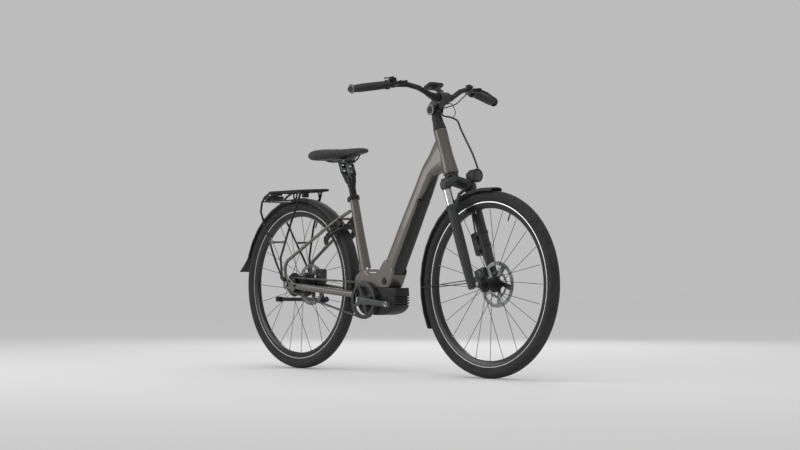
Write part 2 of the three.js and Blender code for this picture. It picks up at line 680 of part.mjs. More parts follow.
// The side view of the motor, whose flat top closes the frame shell
function motorOutline(grow = 0) {
  const shape = new THREE.Shape();
  shape.absarc(0, 0, MOTOR_RADIUS + grow, rad(62), rad(250), false);
  const nose = MOTOR_NOSE + grow;
  shape.lineTo(MOTOR_RADIUS, -MOTOR_RADIUS - grow);
  shape.quadraticCurveTo(nose, -MOTOR_RADIUS, nose, -grow);
  shape.lineTo(nose - MOTOR_COVER_THICKNESS, SHELL_FLOOR - GAP);
  shape.closePath();
  return shape;
}
const motorSlab = (grow) => slab(motorOutline(grow), -MOTOR_WIDTH / 2 - grow, MOTOR_WIDTH / 2 + grow, 12)
  .translate(BB_X, 0, BB_HEIGHT);

function tubeBox(start, length, width, back, front) {
  const [x, z] = alongDown(start + length / 2, (front + back) / 2);
  return new THREE.BoxGeometry(length, width, front - back).rotateY(-downAngle).translate(x, 0, z);
}
const batteryFront = DOWN_DEPTH / 2 - BATTERY_COVER_THICKNESS - POCKET_GAP * 1.5;
const pocket = (grow, front) => tubeBox(BATTERY_START - POCKET_GAP + grow,
  BATTERY_LENGTH + POCKET_GAP + BATTERY_SWING_ROOM - 2 * grow, BATTERY_WIDTH + 2 * (POCKET_GAP - grow), front,
  DOWN_DEPTH);

const [capX, capZ] = [BB_X + CAP_PLACE[0], BB_HEIGHT + CAP_PLACE[1]];
const capY = -SHELL_WIDTH / 2 - GAP;
function mainFrame() {
  const headTop = HEAD_LOW + HEAD_LENGTH;
  const head = moved(steering, bike, turnedZ([[0, HEAD_LOW], [HEAD_LOW_DIAMETER / 2, HEAD_LOW],
    [HEAD_LOW_DIAMETER / 2, HEAD_LOW + HEAD_LENGTH * 0.1], [HEAD_WAIST_DIAMETER / 2, HEAD_LOW + HEAD_LENGTH * 0.45],
    [HEAD_TUBE_DIAMETER / 2, headTop], [0, headTop]], 16));
  const shell = slab(outline(SHELL_OUTLINE, [BB_X, BB_HEIGHT]), -SHELL_WIDTH / 2, SHELL_WIDTH / 2, 3, SHELL_EDGE);
  const bearings = moved(steering, bike, turnedZ(rodProfile(HEAD_BORE / 2, HEAD_LOW - OVERRUN, headTop + OVERRUN), 16));
  const postBore = moved(seat, bike, turnedZ(rodProfile(SEAT_BORE / 2, -POST_INSERT - POST_SHOULDER, OVERRUN), 14));
  const floor = block([4 * SHELL_WIDTH, THROUGH, THROUGH], BB_X + MOTOR_NOSE, 0, BB_HEIGHT + SHELL_FLOOR - THROUGH / 2);
  const room = pocket(0, batteryFront - BATTERY_DEPTH - POCKET_GAP / 2);
  const port = rodY(capX, capZ, PORT_DIAMETER / 2, capY - OVERRUN, capY + PORT_DEPTH, 8);
  return cut(joined([head, downTube(), seatTube(), shell]), bearings, postBore, motorSlab(GAP),
    boreY(BB_X, BB_HEIGHT, MOTOR_RADIUS + COVER_ROOM, 18), floor, room, port);
}
piece(bike, 'main_frame', mainFrame(), TAUPE);

// Battery, its cover and the charging port cap
piece(bike, 'battery_pack', tubeBox(BATTERY_START, BATTERY_LENGTH, BATTERY_WIDTH, batteryFront - BATTERY_DEPTH,
  batteryFront), BLACK_PLASTIC);
piece(bike, 'battery_cover', solidOf(downTube(-GAP)).intersect(solidOf(pocket(GAP, batteryFront + GAP))),
  BLACK_PLASTIC);
piece(bike, 'charge_cap', joined([rodY(capX, capZ, CAP_DIAMETER / 2, capY - CAP_THICKNESS, capY, 16),
  block([CAP_TAB[0], CAP_THICKNESS, CAP_TAB[1]], capX, capY - CAP_THICKNESS / 2, capZ + CAP_DIAMETER / 2)]),
BLACK_PLASTIC);

// Motor
const spindleBore = () => boreY(BB_X, BB_HEIGHT, SPINDLE_DIAMETER / 2 + BEARING_GAP);
const fins = Array.from({ length: FIN_COUNT }, (_, i) => block([2 * FIN_DEPTH, MOTOR_WIDTH + OVERRUN, FIN_GROOVE],
  BB_X + MOTOR_NOSE, 0, BB_HEIGHT + FIN_STEP * (i - (FIN_COUNT - 1) / 2)));
piece(bike, 'motor_unit', cut(motorSlab(0), spindleBore(), ...fins), BLACK_METAL);
const coverInner = MOTOR_WIDTH / 2 + GAP;
const coverOuter = coverInner + MOTOR_COVER_THICKNESS;
piece(bike, 'motor_cover', cut(turnedY([[0, -coverOuter], [MOTOR_RADIUS - MOTOR_COVER_THICKNESS, -coverOuter],
  [MOTOR_RADIUS, -coverOuter + MOTOR_COVER_EDGE], [MOTOR_RADIUS, -coverInner], [0, -coverInner]], 22)
  .translate(BB_X, 0, BB_HEIGHT), spindleBore()), BLACK_PLASTIC);

// Rear triangle
const stayTop = seatPoint(SEATSTAY_DROP, -SEATSTAY_SET_BACK);
const stayElbow = fromAxle(1)([SEATSTAY_ELBOW[0], 0, SEATSTAY_ELBOW[1]]);
const stayPoint = (share, y) => stayTop.clone().lerp(stayElbow, share).setY(y);
function seatstay(side, grow = 0) {
  const footY = DROPOUT_INNER_Y;
  const route = [...SEATSTAY_STATIONS.map(([share, y]) => stayPoint(share, side * y)),
    ...SEATSTAY_FOOT.map(([x, z]) => at(x, side * footY, TYRE_RADIUS + z))];
  return pipe(bent(route, SEATSTAY_BEND), SEATSTAY_DIAMETER + grow, 8);
}
const [, upperY] = SEATSTAY_STATIONS[1];
const stayBridge = (grow = 0) => pipe([-upperY, upperY].map((y) => stayPoint(SEATSTAY_STATIONS[1][0], y)),
  SEATSTAY_BRIDGE + grow, 6);
const chainstayStart = at(BB_X + CHAINSTAY_FRONT[0], 0, BB_HEIGHT + CHAINSTAY_FRONT[1]);
const chainstayEnd = at(CHAINSTAY_BACK[0], 0, TYRE_RADIUS + CHAINSTAY_BACK[1]);
const chainstay = (side, grow = 0) => loft(CHAINSTAY_STATIONS.map(([share, y, wide, tall]) => {
  const centre = chainstayStart.clone().lerp(chainstayEnd, share);
  return uprightRing(centre.x, side * y, centre.z, 90,
    rounded(CHAINSTAY_WIDTH * wide + grow, CHAINSTAY_HEIGHT * tall + grow, 8, 2.6));
}));
function rearTriangle() {
  const bodies = [];
  for (const [, side] of SIDES) {
    bodies.push(seatstay(side), chainstay(side), slab(outline(DROPOUT_OUTLINE, [0, TYRE_RADIUS]), side * DROPOUT_INNER_Y,
      side * (DROPOUT_INNER_Y + DROPOUT_THICKNESS), 2));
  }
  const [, yokeY] = CHAINSTAY_STATIONS[0];
  const yoke = chainstayStart.clone().lerp(chainstayEnd, 0.03);
  bodies.push(pipe([yoke.clone().setY(-yokeY), yoke.clone().setY(yokeY)], CHAINSTAY_BRIDGE, 8), stayBridge());
  return cut(joined(bodies), boreY(0, TYRE_RADIUS, AXLE_DIAMETER / 2 + GAP), seatTube(2 * GAP));
}
piece(bike, 'rear_triangle', rearTriangle(), TAUPE);

// Seat clamp
const clampBore = SEAT_TUBE_DIAMETER / 2 + 2 * GAP;
const clampRing = turnedZ(ringProfile(clampBore, clampBore + CLAMP_WALL, -CLAMP_HEIGHT, 0), 16);
const clampLug = block([...CLAMP_LUG, CLAMP_HEIGHT], -clampBore - CLAMP_LUG[0] / 2, 0, -CLAMP_HEIGHT / 2);
const clampSlit = block([2 * CLAMP_LUG[0], CLAMP_SLIT, CLAMP_HEIGHT + OVERRUN], -clampBore - CLAMP_LUG[0] / 2, 0,
  -CLAMP_HEIGHT / 2);
piece(seat, 'seat_clamp', cut(joined([clampRing, clampLug]), clampSlit,
  turnedZ(rodProfile(clampBore, -THROUGH, THROUGH), 16)), BRIGHT_ALLOY);

// Wheels: a facet's middle, not a corner, stands on the ground.
const wheelStart = Math.PI / WHEEL_SEGMENTS;
const ringOf = (profile) => turnedY([...profile, profile[0]].map(([r, y]) => [r / Math.cos(wheelStart), y]),
  WHEEL_SEGMENTS, wheelStart);
const mirrorY = (profile) => profile.map(([r, y]) => [r, -y]).reverse();

function tyre() {
  const beadY = RIM_WIDTH / 2 - RIM_WALL - GAP;
  const side = [[RIM_RADIUS - BEAD_DEPTH, beadY], [RIM_RADIUS + RIM_WALL, beadY],
    ...TYRE_SHARES.map(([share, wide]) => [lerp(RIM_RADIUS, TYRE_RADIUS, share), wide * TYRE_WIDTH / 2])];
  return ringOf([...side, ...mirrorY(side)]);
}

function rim() {
  const half = RIM_WIDTH / 2;
  const floor = RIM_RADIUS - BEAD_DEPTH - RIM_WALL;
  const side = [[RIM_RADIUS, half], [RIM_RADIUS, half - RIM_WALL], [floor, half - RIM_WALL]];
  return ringOf([...side, ...mirrorY(side), [RIM_RADIUS - RIM_DEPTH, -half * RIM_BED_SHARE],
    [RIM_RADIUS - RIM_DEPTH, half * RIM_BED_SHARE]]);
}

// Half of a hub's profile, from the middle to one end
const hubSide = (bore, body, flange, flangeY, neck, end) => [[body / 2, flangeY - FLANGE_THICKNESS],
  [flange / 2, flangeY - FLANGE_THICKNESS / 2], [flange / 2, flangeY + FLANGE_THICKNESS / 2],
  [neck / 2, flangeY + FLANGE_THICKNESS * 0.7], [neck / 2, end], [bore, end]];

// Crossed spokes run from both flanges to the middle of the rim.
function laced(profile, flangeRadius, flangeY) {
  const bodies = [turnedY([...profile, profile[0]], SPOKE_PAIRS, Math.PI / SPOKE_PAIRS)];
  const end = RIM_RADIUS - RIM_DEPTH - GAP;
  const count = SPOKE_PAIRS * 2;
  for (let i = 0; i < count; i += 1) {
    const side = i % 2 === 0 ? 1 : -1;
    const lean = Math.floor(i / 2) % 2 === 0 ? 1 : -1;
    const rimAngle = i * (2 * Math.PI / count);
    const hubAngle = rimAngle + lean * 2 * Math.PI / SPOKE_PAIRS;
    const foot = flangeRadius - FLANGE_THICKNESS * 0.7;
    bodies.push(pipe([
      at(foot * Math.cos(hubAngle), side * (flangeY + lean * FLANGE_THICKNESS / 4), foot * Math.sin(hubAngle)),
      at(end * Math.cos(rimAngle), side * NIPPLE_Y, end * Math.sin(rimAngle))], SPOKE_DIAMETER, 3));
  }
  return joined(bodies);
}

const axleBore = AXLE_DIAMETER / 2 + BEARING_GAP;
const frontSide = hubSide(axleBore, FRONT_HUB_DIAMETER, FRONT_FLANGE_DIAMETER, FRONT_FLANGE_Y, FRONT_HUB_DIAMETER,
  FRONT_HUB_WIDTH / 2);
const rearDiscSide = hubSide(axleBore, REAR_HUB_DIAMETER, REAR_FLANGE_DIAMETER, REAR_FLANGE_Y, REAR_NECK_DIAMETER,
  REAR_HUB_WIDTH / 2);
const rearChainSide = hubSide(axleBore, REAR_HUB_DIAMETER, REAR_FLANGE_DIAMETER, REAR_FLANGE_Y, REAR_DRIVER_NECK,
  -CHAIN_Y - SPROCKET_THICKNESS / 2 - DRIVER_OVERHANG - GAP);
for (const [name, wheel] of [['front', frontWheel], ['rear', rearWheel]]) {
  piece(wheel, `${name}_tyre`, tyre(), RUBBER);
  piece(wheel, `${name}_rim`, rim(), BLACK_METAL);
}
piece(frontWheel, 'front_hub', laced([...frontSide, ...mirrorY(frontSide)], FRONT_FLANGE_DIAMETER / 2, FRONT_FLANGE_Y),
  BLACK_METAL);
piece(rearWheel, 'rear_hub', laced([...rearDiscSide, ...mirrorY(rearChainSide)], REAR_FLANGE_DIAMETER / 2,
  REAR_FLANGE_Y), BLACK_METAL);

// Brake discs
function rotor(y, seatDiameter) {
  const outer = ROTOR_DIAMETER / 2;
  const circle = (radius, sides) => rounded(2 * radius, 2 * radius, sides).map(([u, v]) => new THREE.Vector2(u, v));
  const arc = (radius, start, sweep, steps) => Array.from({ length: steps + 1 }, (_, k) => new THREE.Vector2(
    radius * Math.cos(start + sweep * k / steps), radius * Math.sin(start + sweep * k / steps)));
  const shape = new THREE.Shape(circle(outer, 24));
  const low = seatDiameter / 2 + ROTOR_TRACK * 0.6;
  for (let i = 0; i < ROTOR_WINDOWS; i += 1) {
    const from = (i / ROTOR_WINDOWS) * 2 * Math.PI;
    const span = (2 * Math.PI / ROTOR_WINDOWS) * 0.72;
    shape.holes.push(new THREE.Path([...arc(outer - ROTOR_TRACK, from, span, 3),
      ...arc(low, from + span, -span * 0.7, 1)]));
  }
  shape.holes.push(new THREE.Path(circle(seatDiameter / 2 + 2 * GAP, 12)));
  return slab(shape, y, y + ROTOR_THICKNESS);
}
const sensorLow = FRONT_ROTOR_Y + ROTOR_THICKNESS;
const sensorRing = turnedY(ringProfile(SENSOR_RING_DIAMETER / 2 - SENSOR_RING_BAND, SENSOR_RING_DIAMETER / 2,
  sensorLow, sensorLow + SENSOR_RING_THICKNESS), 12);
piece(frontWheel, 'front_rotor', joined([rotor(FRONT_ROTOR_Y, FRONT_HUB_DIAMETER), sensorRing]), STEEL);
piece(rearWheel, 'rear_rotor', rotor(REAR_ROTOR_Y, REAR_NECK_DIAMETER), STEEL);

// A caliper block, slotted for its disc: its box is [x, x, z, z] from the wheel's axle.
function caliper(axleX, axleZ, y, [x0, x1, z0, z1]) {
  const corners = [[x0, z0, CALIPER_CORNER], [x1, z0, CALIPER_CORNER], [x1, z1, CALIPER_CORNER],
    [x0, z1, CALIPER_CORNER]];
  const body = slab(outline(corners, [axleX, axleZ]), y - CALIPER_INNER, y + CALIPER_OUTER, 2, CALIPER_EDGE);
  const middle = y + ROTOR_THICKNESS / 2;
  return cut(body, rodY(axleX, axleZ, ROTOR_DIAMETER / 2 + CALIPER_EDGE, middle - CALIPER_SLOT / 2,
    middle + CALIPER_SLOT / 2, 24));
}
piece(bike, 'rear_caliper', cut(caliper(0, TYRE_RADIUS, REAR_ROTOR_Y, REAR_CALIPER), seatstay(1, 2 * GAP),
  chainstay(1, 2 * GAP)), BLACK_METAL);

// One lower fork leg, narrowing towards the axle
const legY = LEG_SPACING / 2;
function forkLeg(side, grow = 0) {
  const radius = LEG_DIAMETER / 2 + grow;
  const collar = LEG_TOP - LEG_COLLAR_HEIGHT;
  return turnedZ([[0, LEG_FOOT_Z - grow], ...LEG_SHARES.map(([wide, share]) => [wide * LEG_DIAMETER / 2 + grow,
    lerp(LEG_FOOT_Z, LEG_TOP, share)]), [radius, collar], [radius + LEG_COLLAR, collar],
  [radius + LEG_COLLAR, LEG_TOP + grow], [0, LEG_TOP + grow]], 12).translate(LEG_OFFSET, side * legY, 0);
}
piece(steering, 'front_caliper', cut(caliper(FORK_OFFSET, 0, FRONT_ROTOR_Y, FRONT_CALIPER), forkLeg(1, GAP)),
  BLACK_METAL);

// Axles: each has a head beyond both ends of its grip.
function axle(grip) {
  const side = [[AXLE_DIAMETER / 2, grip], [AXLE_HEAD_DIAMETER / 2, grip],
    [AXLE_HEAD_DIAMETER / 2, grip + AXLE_HEAD_THICKNESS], [0, grip + AXLE_HEAD_THICKNESS]];
  return turnedY([...mirrorY(side), ...side], 12);
}
const forkInner = FRONT_HUB_WIDTH / 2 + OVERRUN;
piece(rearWheel, 'rear_axle', axle(DROPOUT_INNER_Y + DROPOUT_THICKNESS + GAP), STEEL);
piece(frontWheel, 'front_axle', axle(forkInner + FORK_DROPOUT_THICKNESS + GAP), STEEL);

// Chain drive
const pitchRadius = (teeth) => CHAIN_PITCH / (2 * Math.sin(Math.PI / teeth));
const ringRadius = pitchRadius(RING_TEETH);
const sprocketRadius = pitchRadius(SPROCKET_TEETH);
const ringLow = CHAIN_Y - SPROCKET_THICKNESS / 2;
const ringHigh = CHAIN_Y + SPROCKET_THICKNESS / 2;

function toothed(teeth, bore) {
  const points = [];
  for (let i = 0; i < teeth; i += 1) {
    for (const [share, grow] of TOOTH_SHARES) {
      const angle = (i + share) * (2 * Math.PI / teeth);
      const r = pitchRadius(teeth) + grow * TOOTH_DEPTH;
      points.push(new THREE.Vector2(r * Math.cos(angle), r * Math.sin(angle)));
    }
  }
  return cut(slab(new THREE.Shape(points), ringLow, ringHigh), boreY(0, 0, bore, 16));
}

// The chain's centre line: round the ring's front, back along the lower run and round the sprocket
function chainLine() {
  const [dx, dz] = [-BB_X, TYRE_RADIUS - BB_HEIGHT];
  const along = Math.atan2(dz, dx);
  const lean = Math.acos((ringRadius - sprocketRadius) / Math.hypot(dx, dz));
  const [lower, upper] = [along + lean, along - lean];
  const on = (x, z, r, angle) => new THREE.Vector2(x + r * Math.cos(angle), z + r * Math.sin(angle));
  const onRing = (angle) => on(BB_X, BB_HEIGHT, ringRadius, angle);
  const onSprocket = (angle) => on(0, TYRE_RADIUS, sprocketRadius, angle);
  return [
    new THREE.EllipseCurve(BB_X, BB_HEIGHT, ringRadius, ringRadius, lower, upper + 2 * Math.PI),
    new THREE.LineCurve(onRing(upper), onSprocket(upper)),
    new THREE.EllipseCurve(0, TYRE_RADIUS, sprocketRadius, sprocketRadius, upper, lower),
    new THREE.LineCurve(onSprocket(lower), onRing(lower))];
}

// Wide outer links and narrow inner ones alternate, and a groove along the inside takes the teeth.
function chain() {
  const centres = chainLine().flatMap((stretch) => {
    const pitches = stretch.isLineCurve ? 3 : 1;
    const steps = Math.round(stretch.getLength() / (CHAIN_PITCH * pitches));
    return Array.from({ length: steps }, (_, i) => stretch.getPointAt(i / steps));
  });
  const count = centres.length;
  const offset = (height) => centres.map((p, i) => {
    const before = centres[(i + count - 1) % count];
    const after = centres[(i + 1) % count];
    const normal = new THREE.Vector2(after.y - before.y, before.x - after.x).normalize();
    return p.clone().addScaledVector(normal, height(i));
  });
  const outward = THREE.ShapeUtils.isClockWise(centres) ? -1 : 1;
  const edge = (side) => offset((i) => side * (i % 2 === 0 ? CHAIN_PLATE : CHAIN_WAIST));
  const links = new THREE.Shape(edge(outward));
  links.holes.push(new THREE.Path(edge(-outward)));
  const groove = new THREE.Shape(offset(() => outward * CHAIN_WAIST * 0.8));
  groove.holes.push(new THREE.Path(offset(() => -outward * CHAIN_PLATE * 2)));
  return cut(slab(links, CHAIN_Y - CHAIN_WIDTH / 2, CHAIN_Y + CHAIN_WIDTH / 2),
    slab(groove, CHAIN_Y - CHAIN_SLOT / 2, CHAIN_Y + CHAIN_SLOT / 2));
}
piece(bike, 'chain', chain(), STEEL);

function chainring() {
  const guardLow = ringLow - GUARD_RING_OFFSET;
  const tip = SPIDER_ARM_WIDTH * 0.4;
  const reach = ringRadius - CHAIN_PLATE - tip - 3 * GAP;
  const arms = Array.from({ length: SPIDER_ARMS }, (_, i) => {
    const angle = (i + 0.25) / SPIDER_ARMS * 2 * Math.PI;
    return slab(strap(0, 0, SPIDER_ARM_WIDTH, reach * Math.cos(angle), reach * Math.sin(angle), tip, 3),
      guardLow, ringLow + GAP);
  });
  const guard = turnedY(ringProfile(ringRadius - RING_BAND, ringRadius + GUARD_RING_REACH, guardLow,
    guardLow + GUARD_RING_THICKNESS), 22);
  return cut(joined([toothed(RING_TEETH, ringRadius - RING_BAND), ...arms, guard,
    rodY(0, 0, SPIDER_BOSS / 2, guardLow, ringHigh, 16)]), boreY(0, 0, SPINDLE_DIAMETER / 2 + GAP));
}
piece(crankset, 'chainring', chainring(), BLACK_METAL);
const spindleEnd = CRANK_INNER_Y + CRANK_THICKNESS * 0.6;
piece(crankset, 'crank_spindle', rodY(0, 0, SPINDLE_DIAMETER / 2, -spindleEnd, spindleEnd), STEEL);

function crankArm(side) {
  const outerY = CRANK_INNER_Y + CRANK_THICKNESS;
  const arm = loft(CRANK_STATIONS.map(([share, width, flare]) => rounded(CRANK_THICKNESS, width, 10, 2.8).map(
    ([u, v]) => at(share * CRANK_LENGTH, side * (CRANK_INNER_Y + CRANK_THICKNESS / 2 + flare * CRANK_FLARE) + u, v))));
  const [low, high] = side > 0 ? [CRANK_INNER_Y, outerY] : [-outerY, -CRANK_INNER_Y];
  const boss = rodY(0, 0, CRANK_BOSS / 2, low, high, 12);
  const eyeY = side * (CRANK_INNER_Y + CRANK_THICKNESS / 2 + CRANK_FLARE);
  const eye = rodY(CRANK_LENGTH, 0, PEDAL_EYE / 2, eyeY - PEDAL_EYE_WIDTH / 2, eyeY + PEDAL_EYE_WIDTH / 2, 10);
  const socketEnd = side * (spindleEnd + GAP);
  const socket = rodY(0, 0, SPINDLE_DIAMETER / 2 + GAP, Math.min(0, socketEnd), Math.max(0, socketEnd));
  const turn = rad(CRANK_ANGLE) + (side > 0 ? Math.PI : 0);
  return geometryOf(cut(joined([arm, boss, eye]), socket, boreY(CRANK_LENGTH, 0, PEDAL_BORE / 2, 10))).rotateY(-turn);
}
for (const [name, side] of SIDES) piece(crankset, `crank_${name}`, crankArm(side), DARK_ALLOY);

const driver = turnedY(ringProfile(SPROCKET_BORE / 2, DRIVER_DIAMETER / 2, ringLow - DRIVER_OVERHANG,
  ringHigh + DRIVER_OVERHANG), 12);
piece(rearWheel, 'rear_sprocket', joined([toothed(SPROCKET_TEETH, SPROCKET_BORE / 2 + GAP), driver]), STEEL);

// Mudguards
function mudguard(centreX, [from, to], steps) {
  const half = GUARD_WIDTH / 2;
  const crown = GUARD_SHARES.map(([wide, drop]) => [wide * half, -drop * GUARD_DROP]);
  const skin = crown.map(([y, r], i) => [y * (1 - GUARD_SKIN / half), i === 0 ? r : r - GUARD_SKIN]);
  const mirrored = (list) => [...list, ...list.slice(0, -1).reverse().map(([y, r]) => [-y, r])];
  const section = [...mirrored(crown), ...mirrored(skin).reverse()];
  return loft(Array.from({ length: steps + 1 }, (_, i) => {
    const angle = rad(lerp(from, to, i / steps));
    return section.map(([y, r]) => at(centreX + (GUARD_RADIUS + r) * Math.cos(angle), y,
      TYRE_RADIUS + (GUARD_RADIUS + r) * Math.sin(angle)));
  }));
}
piece(bike, 'rear_mudguard', mudguard(0, REAR_GUARD_ANGLES, 16), BLACK_METAL);

function mudflap() {
  const steps = 4;
  const start = REAR_GUARD_ANGLES[1] + THREE.MathUtils.radToDeg(GAP / GUARD_RADIUS);
  return loft(Array.from({ length: steps + 1 }, (_, i) => {
    const share = i / steps;
    const angle = rad(lerp(start, REAR_GUARD_ANGLES[1] + FLAP_ANGLE, share));
    const radius = GUARD_RADIUS + FLAP_FLARE * share ** 1.5;
    const half = GUARD_WIDTH / 2 * (1 + FLAP_WIDENING * share);
    const drop = GUARD_DROP * (1 - share * 0.6);
    const face = [[half, -drop], [half * 0.7, -drop * 0.15], [0, 0], [-half * 0.7, -drop * 0.15], [-half, -drop]];
    return [...face, ...face.map(([y, r]) => [y, r - FLAP_THICKNESS]).reverse()].map(([y, r]) => at(
      (radius + r) * Math.cos(angle), y, TYRE_RADIUS + (radius + r) * Math.sin(angle)));
  }));
}
piece(bike, 'mudflap', mudflap(), RUBBER);
const guardRoom = (x, z) => rodY(x, z, GUARD_RADIUS + 3 * GAP, -GUARD_WIDTH / 3, GUARD_WIDTH / 3, 48);

// Rack
function rack() {
  const bodies = [];
  const dropoutFace = DROPOUT_INNER_Y + DROPOUT_THICKNESS + GAP;
  for (const [, side] of SIDES) {
    const points = (list) => list.map(fromAxle(side));
    bodies.push(pipe(bent(points([...RACK_LOOP, RACK_FOOT]), RACK_BEND), RACK_TUBE, 5));
    bodies.push(pipe(points([...RACK_FRONT_LEG, RACK_FOOT]), RACK_TUBE, 5));
    bodies.push(pipe(points(RACK_BRACE), RACK_THIN_TUBE, 5));
    bodies.push(pipe(bent(points(PANNIER_RAIL), PANNIER_BEND), RACK_THIN_TUBE, 5));
    bodies.push(slab(strap(RACK_BOLT[0], TYRE_RADIUS + RACK_BOLT[1], RACK_TAB_RADIUS, RACK_FOOT[0],
      TYRE_RADIUS + RACK_FOOT[2], RACK_TAB_RADIUS, 2), side * dropoutFace, side * (RACK_FOOT[1] + RACK_TUBE / 2)));
  }
  for (const x of RACK_BARS) {
    bodies.push(pipe([-1, 1].map((side) => fromAxle(side)([x, RACK_HALF_WIDTH, RACK_HEIGHT])), RACK_THIN_TUBE, 5));
  }
  const top = TYRE_RADIUS + RACK_HEIGHT;
  const tongueDepth = RACK_HEIGHT - TAIL_LIGHT_OUTLINE[0][1] - GAP;
  bodies.push(block(RACK_HANGER, RACK_HANGER_X, 0, top - RACK_HANGER[2] / 2), block(RACK_PLATE, RACK_PLATE_X, 0, top),
    block([...RACK_TONGUE, tongueDepth], RACK_TONGUE_X, 0, top - tongueDepth / 2));
  return cut(joined(bodies), guardRoom(0, TYRE_RADIUS));
}
piece(bike, 'rear_rack', rack(), BLACK_METAL);
piece(bike, 'tail_light', slab(outline(TAIL_LIGHT_OUTLINE, [0, TYRE_RADIUS]), -TAIL_LIGHT_WIDTH / 2,
  TAIL_LIGHT_WIDTH / 2, 3), RED_LENS);

// Frame lock: the local Z of its group points away from the rear axle, its X along the tyre.
const lockAngle = rad(LOCK_SPOKE_GAP * 360 / (SPOKE_PAIRS * 2));
const lock = new THREE.Group();
lock.position.set(LOCK_RADIUS * Math.cos(lockAngle), 0, TYRE_RADIUS + LOCK_RADIUS * Math.sin(lockAngle));
lock.rotation.y = Math.PI / 2 - lockAngle;
bike.add(lock);
lock.updateMatrixWorld(true);

// A body along an arc in the lock's YZ plane, measured from Z, with its section given as [x, radius]
function lockArc(from, to, steps, section) {
  return loft(Array.from({ length: steps + 1 }, (_, i) => {
    const angle = rad(lerp(from, to, i / steps));
    return section.map(([x, r]) => at(x, r * Math.sin(angle), r * Math.cos(angle)));
  }));
}
const onShackle = (diameter) => rounded(diameter, diameter, 5).map(([u, v]) => [u, SHACKLE_RADIUS + v]);

function lockHousing() {
  const half = LOCK_DEPTH / 2;
  const profile = [[LOCK_INNER + LOCK_EDGE, half], [LOCK_OUTER - LOCK_EDGE, half], [LOCK_OUTER, half - LOCK_EDGE]];
  const side = [[half - LOCK_EDGE, LOCK_INNER], ...profile.map(([r, x]) => [x, r])];
  const body = lockArc(-LOCK_MOUTH, LOCK_MOUTH, 10, [...side, ...side.map(([x, r]) => [-x, r]).reverse()]);
  const ears = SIDES.map(([, s]) => block([LOCK_EAR_REACH, LOCK_EAR, LOCK_EAR], -LOCK_EAR_REACH / 2, s * LOCK_EAR_Y,
    LOCK_OUTER - LOCK_EAR / 2));
  const mouth = LOCK_MOUTH + OVERRUN;
  const tunnel = lockArc(-mouth, SHACKLE_SPAN[1] + OVERRUN, 6, onShackle(SHACKLE_ROOM + GAP));
  const keep = lockArc(LOCK_MOUTH - 3 * OVERRUN, mouth, 2, onShackle(SHACKLE_ROOM));
  const slit = lockArc(3 * OVERRUN - mouth, SHACKLE_SPAN[1] + OVERRUN, 5, [
    [-LOCK_SLIT / 2, SHACKLE_RADIUS], [LOCK_SLIT / 2, SHACKLE_RADIUS], [LOCK_SLIT / 2, LOCK_OUTER + 2 * OVERRUN],
    [-LOCK_SLIT / 2, LOCK_OUTER + 2 * OVERRUN]]);
  const stays = [seatstay(1, 2 * GAP), seatstay(-1, 2 * GAP), stayBridge(2 * GAP)];
  return cut(joined([body, ...ears]), tunnel, keep, slit, ...stays.map((stay) => moved(bike, lock, stay)));
}
piece(lock, 'ring_lock', lockHousing(), BLACK_PLASTIC);
const leverAngle = rad(SHACKLE_SPAN[1] - SHACKLE_LEVER);
const shackleLever = pipe([SHACKLE_RADIUS, LOCK_OUTER + SHACKLE_LEVER_REACH].map((r) => at(
  0, r * Math.sin(leverAngle), r * Math.cos(leverAngle))), SHACKLE_LEVER, 6);
piece(lock, 'lock_shackle', joined([lockArc(...SHACKLE_SPAN, 6, onShackle(SHACKLE_DIAMETER)), shackleLever]), STEEL);

// Kickstand: the local Y of its group is the hinge axis, leaning so that the foot swings outwards.
const stand = new THREE.Group();
stand.position.copy(fromAxle(1)(STAND_PLACE));
stand.rotation.x = rad(STAND_SPLAY);
bike.add(stand);
stand.updateMatrixWorld(true);
const plateY = DROPOUT_INNER_Y + DROPOUT_THICKNESS + GAP;
const [plateX, plateZ, plateRadius] = STAND_PLATE_TOP;
const standPlate = slab(strap(plateX, TYRE_RADIUS + plateZ, plateRadius, stand.position.x, stand.position.z,
  STAND_PLATE_END), plateY, plateY + STAND_PLATE_THICKNESS);
piece(bike, 'kickstand_bracket', joined([standPlate,
  moved(stand, bike, rodY(0, 0, STAND_KNUCKLE, -STAND_HUB_WIDTH, -GAP, 14))]), BLACK_METAL);
const standY = STAND_TUBE / 2 + 3 * GAP;
const shoeX = STAND_SHOE_LENGTH - STAND_LENGTH;
piece(stand, 'kickstand_leg', joined([rodY(0, 0, STAND_KNUCKLE, 0, STAND_KNUCKLE_WIDTH, 14),
  pipe([at(0, standY, 0), at(shoeX, standY, 0)], STAND_TUBE, 8),
  pipe([at(shoeX, standY, 0), at(-STAND_LENGTH, standY, 0)], STAND_SHOE, 8)]), BLACK_METAL);

// Fork
function forkCrown() {
  const rings = CROWN_STATIONS.map(([share, z, deep, tall]) => [share * legY, LEG_OFFSET * Math.min(share, 1), z,
    deep, tall]);
  const across = [...rings, ...rings.slice(0, -1).reverse().map(([y, ...rest]) => [-y, ...rest])];
  const crown = loft(across.map(([y, x, z, deep, tall]) => rounded(deep, tall, 10, 3).map(
    ([u, v]) => at(x + u, y, z + v))));
  const tubes = SIDES.map(([, side]) => turnedZ(rodProfile(STANCHION_DIAMETER / 2, STANCHION_FOOT, STANCHION_TOP), 12)
    .translate(LEG_OFFSET, side * legY, 0));
  return joined([crown, ...tubes, turnedZ(rodProfile(STEERER_DIAMETER / 2, CROWN_BOTTOM, STEERER_TOP), 12),
    turnedZ(rodProfile(HEAD_WAIST_DIAMETER / 2, HEAD_LOW - RACE_HEIGHT, HEAD_LOW - GAP), 16)]);
}
piece(steering, 'fork_crown', forkCrown(), BLACK_METAL);

